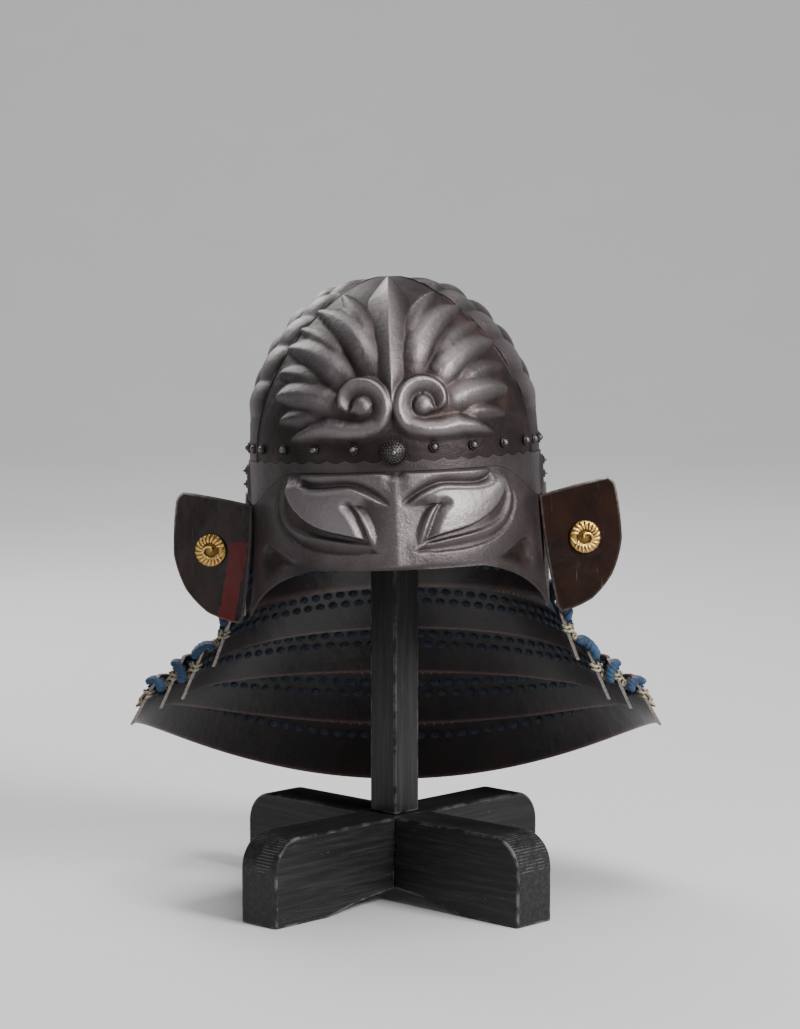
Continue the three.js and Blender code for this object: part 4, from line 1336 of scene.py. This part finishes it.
@dataclass
class Studs:
    """The rivets and rosettes."""

    bowl: Bowl
    azimuths: tuple[float, ...] = (15.2, 31, 46, 60.5, 70.5, 80, 98, 118, 138, 158)
    rivet_height: float = 3.6
    rosette_drop: float = 3
    front_size: Pair = (9.8, 6.5)
    front_rings: tuple[tuple[int, float, float, float], ...] = (
        (26, 0.88, 0.16, 0.075),
        (20, 0.68, 0.30, 0.075),
        (14, 0.48, 0.50, 0.07),
        (8, 0.29, 0.70, 0.06),
    )
    side_azimuth: float = 88
    side_drops: Pair = (0.3, 0.59)
    side_size: Pair = (4.6, 4.2)
    side_rings: tuple[tuple[int, float, float, float], ...] = (
        (14, 0.84, 0.18, 0.13),
        (8, 0.52, 0.45, 0.12),
    )

    def seat(self, azimuth: float, lift: float, z: float) -> Matrix:
        """Gives the frame of a stud on the waist wall, with +Z outwards.

        Args:
            azimuth: Its azimuth in radians.
            lift: How far the wall there is proud of the plain bowl, in millimetres.
            z: Its height from the waist, in millimetres.

        Returns:
            The frame, in metres.
        """
        bowl = self.bowl
        reach = bowl.front if math.cos(azimuth) > 0 else bowl.rear
        sizes = (bowl.half_width + lift, bowl.front + lift, bowl.rear + lift)
        spot = bowl.plan(np.array([azimuth]), *sizes, z)
        slope = (math.sin(azimuth) / bowl.half_width, -math.cos(azimuth) / reach, 0.0)
        outward = Vector(slope).normalized()
        origin = Vector(spot[0] * MM) + outward * GAP * MM
        turn = outward.to_track_quat("Z", "Y").to_matrix().to_4x4()
        return bowl.place @ Matrix.Translation(origin) @ turn

    @staticmethod
    def knob(radius: float, low: float, high: float, steps: int) -> list[Pair]:
        """Gives the profile of a round top, from its foot to its tip."""
        turns = np.linspace(0, math.pi / 2, steps)[:-1]
        rise = high - low
        return [*((radius * math.cos(t), low + rise * math.sin(t)) for t in turns), (0, high)]

    def rivet(self) -> Mesh:
        """Makes a domed rivet on a beaded washer."""
        r, h = self.bowl.rivet_radius * MM, self.rivet_height * MM
        washer = [(0, 0), (0.86 * r, 0), (0.92 * r, 0.12 * h), (0.86 * r, 0.24 * h)]
        bm = turned([*washer, *self.knob(0.62 * r, 0.25 * h, h, 7)], 28)
        add_beads(bm, 12, 0.84 * r, 0.24 * h, 0.15 * r)
        return bm

    def rosette(self, size: Pair, rings: Sequence[tuple[int, float, float, float]]) -> Mesh:
        """Makes a rosette of rings of beads round a knob.

        Args:
            size: Its radius and height in millimetres.
            rings: Count, radius, height and bead radius of each ring, as shares.

        Returns:
            The mesh.
        """
        r, h = size[0] * MM, size[1] * MM
        shares = [(0, 0), (0.9, 0), (0.92, 0.12), (0.72, 0.22), (0.5, 0.42), (0.3, 0.6)]
        base = [(r * across, h * up) for across, up in shares]
        bm = turned([*base, *self.knob(0.2 * r, 0.72 * h, h, 6)], 40)
        for count, ring, height, radius in rings:
            add_beads(bm, count, ring * r, height * h, radius * r)
        return bm

    def place_stud(self, bm: Mesh, seat: Matrix, node: str) -> None:
        """Seats a stud and makes it a piece that stands for a node.

        Args:
            bm: The stud on +Z.
            seat: Its frame.
            node: The node's name.
        """
        highest = max(vert.co.z for vert in bm.verts)
        # Lighter towards the stud's top and darker at its foot: worn metal with a painted
        # highlight, and painted shade low down.
        paint_verts(bm, "raised", lambda vert: 0.15 + 0.85 * vert.co.z / highest)
        bmesh.ops.transform(bm, matrix=seat, verts=bm.verts[:])
        finish_piece(f"{node}_beaded", bm, Finish.STUD_IRON, [node])

    def build(self) -> None:
        """Builds all the studs."""
        bowl = self.bowl
        seat = self.seat(0, bowl.front_lift, bowl.rivet_line - self.rosette_drop)
        self.place_stud(self.rosette(self.front_size, self.front_rings), seat, "front_rosette")
        for side, word in SIDES:
            for k, azimuth in enumerate(self.azimuths, 1):
                lift = bowl.front_lift if azimuth < bowl.waist_angle else 0
                seat = self.seat(side * math.radians(azimuth), lift, bowl.rivet_line)
                self.place_stud(self.rivet(), seat, f"rivet_{word}_{k}")
            turn = side * math.radians(self.side_azimuth)
            for k, drop in enumerate(self.side_drops, 1):
                seat = self.seat(turn, bowl.band_proud, -drop * bowl.band_depth)
                small = self.rosette(self.side_size, self.side_rings)
                self.place_stud(small, seat, f"side_rosette_{word}_{k}")


@dataclass(frozen=True)
class Lame:
    """One lame's shares of the guard's sizes, and the angles of its ends and sides."""

    spread: float
    reach: float
    drop_end: float
    drop_rear: float
    start: float
    swing: float
    tall_end: float = 0
    tall_rear: float = 0
    slope_end: float = 0
    lace_end: float = 0.5
    lace_rear: float = 0.45


@dataclass(frozen=True)
class Section:
    """A lame's section at places along it, in millimetres, and the slopes of its face."""

    spread: float
    reach: float
    low: Array
    tall: Array
    side_slope: Array
    rear_slope: Array


@dataclass
class Guard:
    """The neck guard: five lames, their silk lacing and the cream cords at their front ends.

    Each cream lane has a place along its lame, a lift in millimetres and a phase in radians.
    """

    bowl: Bowl
    half_width: float = 195
    reach: float = 201
    drop_rear: float = 275
    drop_end: float = 203
    lame_height: float = 54
    wall: float = 2.4
    lace_thickness: float = 2.2
    lace_seat: float = 0.9
    nest_spare: float = 1.6
    head_drop: float = 27
    top_seat: float = 0.9
    columns: int = 28
    low_face: float = 0.62
    high_face: float = 0.8
    hold: float = 0.86
    bend: float = 0.05
    scales: int = 78
    bare_scales: int = 6
    cell_faces: int = 6
    lame_rows: int = 20
    row_rows: int = 16
    cord_rows: int = 26
    row_swell: float = 3.6
    row_sink: float = 0.6
    slump: float = 1.6
    spot_rows: tuple[tuple[float, ...], ...] = ((0.30, 0.21), *((0.63, 0.46),) * 3, (0.62,))
    spot_counts: tuple[int, ...] = (36, 40, 44, 48, 52)
    spot_size: tuple[float, float, float] = (3.9, 1.1, 2.8)
    spot_depth: float = -0.7
    cream_radius: float = 1.05
    cream_steps: int = 46
    cream_lanes: tuple[tuple[float, float, float], ...] = (
        (0.011, 1.6, 0.0),
        (0.017, 2.4, 2.0),
        (0.024, 1.8, 4.0),
    )
    rope_radius: float = 2.2
    rope_steps: int = 30
    rope_half_twist: float = 1.5
    rope_lanes: tuple[float, ...] = (0.003, 0.014, 0.025, 0.036)
    lames: tuple[Lame, ...] = (
        Lame(0.575, 0.65, 0.575, 0.411, 81, 0, lace_end=0.16, lace_rear=0.28),
        Lame(0.69, 0.745, 0.767, 0.535, 82, 0.5, 0.67, 0.89, 0.43, 0.5, 0.45),
        Lame(0.806, 0.84, 0.9, 0.669, 84, 1, 0.68, 0.93, 0.43, 0.56, 0.45),
        Lame(0.888, 0.928, 0.936, 0.829, 86, 1, 0.7, 1.0, 0.45, 0.56, 0.45),
        Lame(1, 1, 1, 1, 88, 1, 0.68, 1.07, 0.55),
    )

    @staticmethod
    def roundness(along: Array) -> Array:
        """Tells how far round a place is, from an end (0) to the back (1)."""
        near = np.clip(2 * np.minimum(along, 1 - along), 0, 1)
        return (1 - np.cos(math.pi * near**0.9)) / 2

    def section(self, k: int, along: Array) -> Section:
        """Gives a lame's section at places along it.

        Args:
            k: The lame's number from the top.
            along: Shares along it.

        Returns:
            The section.
        """
        lame, back = self.lames[k], self.roundness(along)
        spread, reach = lame.spread * self.half_width, lame.reach * self.reach
        ends, rear = lame.drop_end * self.drop_end, lame.drop_rear * self.drop_rear
        low = ends + (rear - ends) * back
        if k == 0:
            tall = low - self.head_drop
            seat = self.bowl.band_proud + self.top_seat
            side = (spread - self.bowl.half_width - seat) / tall
            return Section(spread, reach, low, tall, side, (reach - self.bowl.rear - seat) / tall)
        tall = (lame.tall_end + (lame.tall_rear - lame.tall_end) * back) * self.lame_height
        above = self.section(k - 1, along)
        nest = self.wall + self.lace_thickness + 2 * self.lace_seat + self.nest_spare
        pitch = low - above.low

        def slope(wider: float, slope_above: Array) -> Array:
            at_rim = (wider - nest) / pitch
            at_head = (wider + slope_above * (tall - pitch) - nest) / tall
            return np.minimum(at_rim, at_head)

        side_slope = np.minimum(lame.slope_end, slope(spread - above.spread, above.side_slope))
        rear_slope = slope(reach - above.reach, above.rear_slope)
        return Section(spread, reach, low, tall, side_slope, rear_slope)

    def point(self, k: int, along: Array, up: Array, out: Size) -> Array:
        """Gives points of a lame in the helmet's frame.

        Args:
            k: The lame's number from the top.
            along: Shares along it.
            up: 0 at its bottom edge and 1 at its head.
            out: The distance outwards from its inner face.

        Returns:
            One row for each point, hung plumb.
        """
        here = self.section(k, along)
        start = math.radians(self.lames[k].start)
        azimuth = start + (2 * math.pi - 2 * start) * along
        rise = here.tall * up
        wide = here.spread - here.side_slope * rise + out
        deep = here.reach - here.rear_slope * rise + out
        plain = self.bowl.plan(azimuth, wide, wide, deep, rise - here.low)
        lean = math.tan(math.radians(self.bowl.lean))
        level = plain[:, 2] - self.lames[k].swing * lean * plain[:, 0]
        moved = plain[:, 0] + lean * (plain[:, 2] + self.head_drop)
        return np.stack([moved, plain[:, 1], level], axis=1)

    def lame(self, k: int) -> None:
        """Builds one lame with its fluted head.

        Args:
            k: Its number from the top.
        """
        fluted = k > 0

        def scale_form(a: Array) -> Array:
            return np.abs(np.sin(math.pi * self.scales * a))

        def wall(a: Array, d: Array, out: float) -> Array:
            up = 1 - d
            head = smooth((up - self.high_face + 0.06) / 0.06) if fluted else 0 * up
            proud = out + (0.7 * scale_form(a) ** 0.6 - 0.5) * head * (out > 0)
            tip = up + (0.035 * scale_form(a) - 0.03) * smooth((up - 0.9) / 0.1) * fluted
            return self.bowl.world(self.point(k, a, tip, proud))

        def head(a: Array, d: Array) -> Array:
            return smooth((1 - d - self.high_face + 0.03) / 0.03) * fluted

        def bare(a: Array, d: Array) -> Array:
            end = 0.9 * smooth((0.0018 - np.minimum(a, 1 - a)) / 0.001)
            groove = head(a, d) * smooth((0.45 - scale_form(a)) / 0.3) * 0.9
            rim = 0.35 * smooth((d - 0.975) / 0.02)
            return np.clip(end + groove + rim, 0, 1)

        def red(a: Array, d: Array) -> Array:
            near = smooth((0.05 - a) / 0.01) * smooth((a - 0.008) / 0.004) if k >= 3 else 0 * a
            return near * head(a, d) + 0.25 * smooth((d - 0.93) / 0.05)

        grid = (self.scales * self.cell_faces, self.lame_rows)
        bm = shell(grid, wall, (self.wall, 0.0), {"head": head, "bare": bare, "red": red})
        finish_piece(f"neck_lame_{k + 1}_fluted", bm, Finish.LAME, [f"neck_lame_{k + 1}"])

    def lacing(self, k: int, rows: int, wall: Wall, thickness: float, height: float) -> Mesh:
        """Makes a wall of silk along a lame, with a UV map in metres.

        Args:
            k: The lame's number from the top.
            rows: Faces down.
            wall: Its places.
            thickness: The distance of its outer side, in millimetres.
            height: Its height, in millimetres.

        Returns:
            The mesh.
        """
        grid = ((self.scales - self.bare_scales) * self.cell_faces, rows)
        long = 2.6 * self.lames[k].spread * self.half_width * MM
        return shell(grid, wall, (thickness, 0.0), cloth=(long, height * MM))

    def lace_along(self, along: Array) -> Array:
        """Gives the place along a lame of a share along its lacing."""
        return (1 + along * (self.columns - 2)) / self.columns

    def head_row(self, k: int) -> None:
        """Builds the plaited rows of silk on a lame's face.

        Args:
            k: The lame's number from the top.
        """
        stitches = self.scales - self.bare_scales

        def wall(a: Array, d: Array, swell: float) -> Array:
            half = np.abs(2 * d - 1)
            slant = a * stitches + 0.9 * np.where(d < 0.5, d, 1 - d)
            ridge = np.abs(np.sin(math.pi * slant)) ** 0.5
            roll = np.sqrt(np.clip(1 - (2 * half - 1) ** 2, 0, 1)) ** 0.7
            cord = (0.35 + 0.65 * ridge) * (0.25 + 0.75 * roll)
            up = self.high_face + (self.low_face - self.high_face) * d
            base = self.lace_seat - (0 if swell else self.row_sink)
            out = self.wall + base + swell * cord
            return self.bowl.world(self.point(k, self.lace_along(a), up, out))

        bm = self.lacing(k, self.row_rows, wall, self.row_swell, 9)
        node = f"lacing_on_lame_{k + 1}"
        finish_piece(f"silk_row_on_lame_{k + 1}", bm, Finish.BLUE_SILK, [node])

    def falling(self, k: int) -> None:
        """Builds the cords that fall from a lame into the next one's head.

        Args:
            k: The upper lame's number from the top.
        """
        cords, lame = self.scales - self.bare_scales, self.lames[k]

        def wall(a: Array, d: Array, out: float) -> Array:
            place = self.lace_along(a)
            here, below = self.section(k, place), self.section(k + 1, place)
            leave = lame.lace_end + (lame.lace_rear - lame.lace_end) * self.roundness(place)
            level = (below.tall - below.low + here.low) / here.tall
            bend = np.clip(level, 0, leave - self.bend)
            up = leave + (bend - leave) * np.minimum(1, 2 * d)
            swell = np.sqrt(np.clip(1 - (2 * ((a * cords) % 1) - 1) ** 2, 0, 1))
            slump = self.slump * np.sin(math.pi * np.clip(2 * d, 0, 1))
            slump = slump * (0.7 + 0.3 * np.sin(a * cords * 2.3))
            proud = np.where(out > 0, out * (0.15 + 1.0 * swell) + slump, out * 0.5)
            upper = self.point(k, place, up, self.wall + self.lace_seat + proud)
            sunk = np.minimum(proud, 2.2) - 2.2 - self.lace_seat
            held = self.point(k + 1, place, self.hold + 0 * a, sunk)
            share = np.clip(2 * d - 1, 0, 1)[:, None]
            return self.bowl.world(upper + (held - upper) * share)

        bm = self.lacing(k, self.cord_rows, wall, self.lace_thickness, 45)
        node = f"lacing_below_lame_{k + 1}"
        finish_piece(f"silk_cords_below_lame_{k + 1}", bm, Finish.BLUE_SILK, [node])

    def knots_inside(self) -> None:
        """Builds the silk spots that show on the lames' inner faces."""
        bm = bmesh.new()
        bm.loops.layers.uv.new("UVMap")
        size = Matrix.Diagonal((*(part * MM for part in self.spot_size), 1))
        for k, (rows, count) in enumerate(zip(self.spot_rows, self.spot_counts)):
            for r, up in enumerate(rows):
                shares = (np.arange(count) + 0.5 + 0.5 * r) / (count + 0.5)
                level, near = np.full(count, up), ((0, 0), (0.002, 0), (0, 0.02))
                spots, ahead, above = (
                    self.bowl.world(self.point(k, shares + on, level + rise, self.spot_depth))
                    for on, rise in near
                )
                for spot, side, top in zip(spots, ahead, above):
                    x, z = Vector(side - spot).normalized(), Vector(top - spot).normalized()
                    turn = Matrix((x, z.cross(x), z)).transposed().to_4x4()
                    place = {"matrix": Matrix.Translation(spot) @ turn @ size}
                    ball = {"subdivisions": 2, "radius": 1.0, "calc_uvs": True}
                    bmesh.ops.create_icosphere(bm, **ball, **place)
        smooth_faces(bm.faces)
        finish_piece("silk_spots_inside", bm, Finish.BLUE_SILK)

    def strand(self, k: int, side: int, along: Array, up: Array, out: Array) -> Array:
        """Gives a path over a lame near one of its front ends.

        Args:
            k: The lame's number from the top.
            side: 1 for the end on +X and -1 for its twin.
            along: Shares along the lame from that end.
            up: Shares up the lame.
            out: Distances outwards from its inner face, in millimetres.

        Returns:
            The path in the part's frame.
        """
        return self.bowl.world(self.point(k, along if side > 0 else 1 - along, up, out))

    def cream_cords(self, side: int) -> Mesh:
        """Makes the cream cords round the lames' front ends on one side.

        Args:
            side: 1 for the ends on +X and -1 for their twins.

        Returns:
            The mesh.
        """
        bm, t = bmesh.new(), np.linspace(0, 1, self.cream_steps)
        for k in range(1, len(self.lames)):
            spin = 2 * math.pi * 1.5 * t + 0.8 + 0.5 * k
            along, up = 0.006 + 0.0075 * np.cos(spin), 0.57 + 0.13 * t + 0.012 * np.cos(3 * spin)
            paths = [self.strand(k, side, along, up, self.wall / 2 + 2.9 * np.sin(spin))]
            for lane, lift, phase in self.cream_lanes:
                wave = 0.0035 * np.sin(2 * math.pi * 2.5 * t + phase)
                proud = self.wall + lift + 1.1 * np.cos(11 * t + phase)
                paths.append(self.strand(k, side, lane + wave, 0.36 + 0.34 * t, proud))
            for path in paths:
                add_cord(bm, path, self.cream_radius * MM)
        return bm

    def blue_ropes(self, side: int) -> Mesh:
        """Makes the twisted ropes that join the lames' front ends on one side.

        Args:
            side: 1 for the ends on +X and -1 for their twins.

        Returns:
            The mesh.
        """
        bm, t = bmesh.new(), np.linspace(0, 1, self.rope_steps)
        share = smooth(t)[:, None]
        for k in range(1, len(self.lames)):
            for lane in self.rope_lanes:
                proud = self.wall + 2.5 + 5.0 * np.sin(math.pi * t / 2)
                head = self.strand(k, side, lane + 0 * t, 0.86 + 0.16 * t, proud)
                proud = self.wall + 3.0 + 2.5 * t
                above = self.strand(k - 1, side, lane + 0 * t, 0.62 - 0.25 * t, proud)
                middle = head * (1 - share) + above * share
                for strand in range(2):
                    spin = math.pi * strand + 2 * math.pi * 3.5 * t
                    round_it = np.stack([np.cos(spin), np.sin(spin), 0 * t], axis=1)
                    offset = round_it * self.rope_half_twist * MM
                    add_cord(bm, middle + offset, self.rope_radius * MM)
        return bm

    def build(self) -> None:
        """Builds the whole guard."""
        for k in range(len(self.lames)):
            self.lame(k)
        for k in range(1, len(self.lames)):
            self.head_row(k)
            self.falling(k - 1)
        self.knots_inside()
        for side, word in SIDES:
            finish_piece(f"cream_cords_{word}", self.cream_cords(side), Finish.CREAM_SILK)
            finish_piece(f"blue_ropes_{word}", self.blue_ropes(side), Finish.BLUE_SILK)


@dataclass
class TurnBacks:
    """The two turned-back plates and their gilt crests."""

    bowl: Bowl
    visor: Visor
    width: float = 63
    height: float = 98
    wall: float = 2.2
    sweep: float = 14
    crest_radius: float = 12.1
    crest_thickness: float = 3
    crest_place: Pair = (0.53, -0.33)
    feathers: int = 17
    fan_half: float = 150
    edge: float = 0.9
    crease_inset: float = 1.2
    crease_depth: float = 0.3
    worn_place: Pair = (0.9, 0.08)
    worn_radius: float = 30
    flat_corners: int = 8
    outline: tuple[tuple[float, float, float], ...] = (
        (0, 0, 0.032),
        (0.84, 0.112, 0.02),
        (0.94, 0.03, 0.25),
        (0.99, -0.36, 0.04),
        (0.86, -0.62, 0.08),
        (0.6, -0.8, 0.08),
        (0.22, -0.886, 0.07),
        (0.16, -0.8, 0.15),
    )

    def frame_of(self, side: int) -> Matrix:
        """Gives a plate's frame: x outwards, y up, z to the front.

        Args:
            side: 1 for +X and -1 for its twin.

        Returns:
            The frame in metres.
        """
        bowl = self.bowl
        at_end = np.array([math.radians(self.visor.end_angle)])
        beside, ahead = bowl.half_width + bowl.band_proud + GAP, bowl.front + bowl.band_proud
        corner = bowl.plan(at_end, beside, ahead, bowl.rear, -bowl.band_depth - GAP)[0]
        corner[1] += self.wall + 2 * GAP
        spot = Vector((side * corner[0], corner[1], corner[2])) * MM
        sweep = Matrix.Rotation(side * math.radians(self.sweep), 4, "Y")
        turn = Matrix.Rotation(math.pi / 2, 4, "X") @ sweep
        return bowl.place @ Matrix.Translation(spot) @ turn @ Matrix.Diagonal((side, 1, 1, 1))

    def plate(self, side: int, word: str) -> None:
        """Builds one plate with rounded edges.

        Args:
            side: 1 for +X and -1 for its twin.
            word: The side's name.
        """
        bm = bmesh.new()
        corners = [Vector((a * self.width, u * self.height)) for a, u, _ in self.outline]
        points = []
        for k, (_, _, bulge) in enumerate(self.outline):
            start, end = corners[k - 1], corners[k]
            leg = end - start
            bend = (start + end) / 2 + Vector((-leg.y, leg.x)) * bulge
            for t in np.linspace(0, 1, 10)[:-1]:
                points.append(start * (1 - t) ** 2 + bend * (2 * t * (1 - t)) + end * t**2)
        verts = [bm.verts.new((p.x * MM, p.y * MM, 0.0)) for p in points]
        face = bm.faces.new(verts)
        made = bmesh.ops.extrude_face_region(bm, geom=[face], use_keep_orig=True)["geom"]
        top = [item for item in made if isinstance(item, bmesh.types.BMVert)]
        bmesh.ops.translate(bm, vec=(0, 0, self.wall * MM), verts=top)
        bmesh.ops.recalc_face_normals(bm, faces=bm.faces[:])
        level = [edge for edge in bm.edges if abs(edge.verts[0].co.z - edge.verts[1].co.z) < LEAST]
        bevel(bm, level, self.edge * MM)
        flat = [face for face in bm.faces if len(face.verts) > self.flat_corners]
        bmesh.ops.inset_individual(bm, faces=flat, thickness=self.crease_inset * MM)
        for item in flat:
            inwards = -1 if item.calc_center_median().z > self.wall * MM / 2 else 1
            sunk = (0, 0, inwards * self.crease_depth * MM)
            bmesh.ops.translate(bm, vec=sunk, verts=item.verts[:])
        for item in bm.faces:
            item.smooth = len(item.verts) <= self.flat_corners
        inner = verts_of(bm, flat)
        worn_x, worn_y = self.worn_place[0] * self.width * MM, self.worn_place[1] * self.height * MM

        def bare(vert: bmesh.types.BMVert) -> float:
            away = math.hypot(vert.co.x - worn_x, vert.co.y - worn_y) / (self.worn_radius * MM)
            return 0.0 if vert.index in inner else 0.12 + 0.75 * max(0.0, 1 - away)

        paint_verts(bm, "bare", bare)
        bmesh.ops.transform(bm, matrix=self.frame_of(side), verts=bm.verts[:])
        bmesh.ops.recalc_face_normals(bm, faces=bm.faces[:])
        finish_piece(f"turn_back_{word}_lacquered", bm, Finish.LACQUER, [f"turn_back_{word}"])

    def crest(self, side: int, word: str) -> None:
        """Builds one crest: carved feathers fanned round a curled sprout.

        Args:
            side: 1 for +X and -1 for its twin.
            word: The side's name.
        """
        radius, thick = self.crest_radius * MM, self.crest_thickness * MM
        rim = [(0, 0), (0.96, 0), (1, 0.2), (0.96, 0.42)]
        hollow = [(0.62, 0.5), (0.5, 0.22), (0.3, 0.3), (0, 0.4)]
        bm = turned([(radius * away, up * thick) for away, up in [*rim, *hollow]], 64)
        reach = np.linspace(0.44, 0.97, 7)
        away, lift = radius * reach, thick * (0.45 + 0.35 * np.sin(math.pi * (reach - 0.4) / 0.6))
        for k in range(self.feathers):
            angle = math.radians(-self.fan_half + 2 * self.fan_half * k / (self.feathers - 1))
            turn = angle + 0.5 * (reach - 0.44)
            path = np.stack([away * np.cos(turn), away * np.sin(turn), lift], axis=1)
            add_cord(bm, path, radius * 0.085, 6, 0.8)
        t = np.linspace(0, 1, 26)
        turn, away = math.pi * (1.0 + 2.1 * t), radius * (0.92 - 0.86 * t**0.75)
        lift = thick * (0.55 + 0.25 * t)
        curl = np.stack([away * np.cos(turn), away * 0.8 * np.sin(turn), lift], axis=1)
        add_cord(bm, curl, radius * 0.075)
        # The height up the crest drives the gilt's painted shade low down and its painted highlight
        # on top.
        paint_verts(bm, "raised", lambda vert: (vert.co.z / thick - 0.2) / 0.6)
        across, up = self.crest_place[0] * self.width, self.crest_place[1] * self.height
        place = Matrix.Translation((across * MM, up * MM, (self.wall + GAP) * MM))
        bmesh.ops.transform(bm, matrix=self.frame_of(side) @ place, verts=bm.verts[:])
        if side < 0:
            bmesh.ops.reverse_faces(bm, faces=bm.faces[:])
        finish_piece(f"crest_{word}_carved", bm, Finish.GILT, [f"crest_{word}"])

    def build(self) -> None:
        """Builds both plates and both crests."""
        for side, word in SIDES:
            self.plate(side, word)
            self.crest(side, word)


@dataclass
class Stand:
    """The wooden stand, with its edges rounded and rubbed."""

    edge: float = 1.4
    level_angle: float = 1
    sharp_angle: float = 40
    face_side: float = 8
    rubbed_width: float = 0.8
    grains: tuple[tuple[str, Finish], ...] = (
        ("stand_beam_upper", Finish.WOOD_ACROSS),
        ("stand_beam_lower", Finish.WOOD_ALONG),
        ("stand_post", Finish.WOOD_UPRIGHT),
        ("head_rest", Finish.WOOD_UPRIGHT),
    )

    def build(self) -> None:
        """Builds each wooden piece from its solid."""
        for node, finish in self.grains:
            bm = bmesh.new()
            bm.from_mesh(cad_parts[node].data)
            bmesh.ops.remove_doubles(bm, verts=bm.verts[:], dist=1e-6)
            all_of = {"verts": bm.verts[:], "edges": bm.edges[:]}
            bmesh.ops.dissolve_limit(bm, angle_limit=math.radians(self.level_angle), **all_of)
            corner = math.radians(self.sharp_angle)
            sharp = [edge for edge in bm.edges if edge.calc_face_angle(0) > corner]
            bevel(bm, sharp, self.edge * MM)
            flat = [face for face in bm.faces if face.calc_area() > (self.face_side * MM) ** 2]
            bmesh.ops.inset_individual(bm, faces=flat, thickness=self.rubbed_width * MM)
            plain = verts_of(bm, flat)
            paint_verts(bm, "raised", lambda vert: float(vert.index not in plain))
            finish_piece(f"{node}_rubbed", bm, finish, [node])


@dataclass(frozen=True)
class Lamp:
    """A soft square light: where it hangs, where it points, its side and its power."""

    name: str
    spot: tuple[float, float, float]
    target: tuple[float, float, float]
    size: float
    power: float


@dataclass
class Studio:
    """The floor, the lights and the camera. The floor and the lamps are in metres."""

    flat: float = 4.0
    rise: float = 3.0
    lens: float = 104.96
    pitch: float = 5.67
    camera_off: tuple[float, float, float] = (4.08, -2214.2, 506.7)
    sensor: float = 36.0
    surround: Colour = (0.80, 0.82, 0.86)
    surround_strength: float = 0.24
    lamps: tuple[Lamp, ...] = (
        Lamp("key", (1.45, -1.25, 1.35), (0.0, -0.05, 0.33), 0.7, 72),
        Lamp("fill", (-1.7, -1.5, 0.7), (0.0, 0.0, 0.25), 1.4, 7),
        Lamp("back", (-0.9, 1.5, 1.5), (0.0, 0.0, 0.3), 1.0, 26),
        Lamp("top", (0.2, -0.3, 1.9), (0.0, -0.05, 0.3), 0.8, 16),
        Lamp("sweep", (0.0, 2.2, 3.4), (0.0, 5.2, 0.6), 3.0, 130),
    )

    def floor(self) -> None:
        """Lays the pale floor: a wide dish that curves up far around the helmet."""
        bm = bmesh.new()
        bend = np.linspace(0, math.pi / 2, 20)
        arc = [(self.flat + self.rise * math.sin(a), self.rise * (1 - math.cos(a))) for a in bend]
        profile = [(0.0, 0.0), (0.5 * self.flat, 0.0), *arc]
        line = [bm.verts.new((away, 0.0, up)) for away, up in profile]
        edges = [bm.edges.new(pair) for pair in zip(line, line[1:])]
        bmesh.ops.spin(bm, geom=[*line, *edges], axis=(0, 0, 1), steps=96, angle=2 * math.pi)
        bmesh.ops.remove_doubles(bm, verts=bm.verts[:], dist=MM)
        middle = Vector((0.0, 0.0, 4 * self.flat))
        smooth_faces(bm.faces)
        for face in bm.faces:
            if face.normal.dot(middle - face.calc_center_median()) < 0:
                face.normal_flip()
        mesh = bpy.data.meshes.new("floor")
        bm.to_mesh(mesh)
        bm.free()
        mesh.materials.append(Floor().make())
        add_object("floor", mesh)

    def lights(self) -> None:
        """Hangs the lamps and sets a pale surround."""
        for row in self.lamps:
            light = bpy.data.lights.new(row.name, "AREA")
            light.energy, light.size, light.shape = row.power, row.size, "SQUARE"
            lamp = add_object(row.name, light)
            lamp.location = row.spot
            ahead = Vector(row.target) - Vector(row.spot)
            lamp.rotation_euler = ahead.to_track_quat("-Z", "Y").to_euler()
        world = bpy.data.worlds.new("surround")
        world.use_nodes = True
        background = world.node_tree.nodes["Background"]
        background.inputs["Color"].default_value = (*self.surround, 1.0)
        background.inputs["Strength"].default_value = self.surround_strength
        bpy.context.scene.world = world

    def camera(self) -> None:
        """Sets the camera at the photograph's place."""
        low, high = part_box("stand_post")
        data = bpy.data.cameras.new("camera")
        data.lens, data.sensor_width = self.lens, self.sensor
        camera = add_object("camera", data)
        off = Vector(self.camera_off) * MM
        camera.location = Vector(((low.x + high.x) / 2, (low.y + high.y) / 2, 0.0)) + off
        camera.rotation_euler = (math.radians(90 - self.pitch), 0.0, 0.0)
        bpy.context.scene.camera = camera


def main() -> None:
    """Builds the scene."""
    logging.basicConfig(level=logging.INFO, format="%(name)s: %(message)s")
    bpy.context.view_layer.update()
    studio = Studio()
    studio.camera()
    studio.floor()
    studio.lights()
    Stand().build()
    bowl = Bowl()
    bowl.front_plate()
    bowl.rear_plates()
    visor = Visor(bowl)
    visor.visor()
    visor.band()
    Studs(bowl).build()
    Guard(bowl).build()
    TurnBacks(bowl, visor).build()


if __name__ == "__main__":
    main()
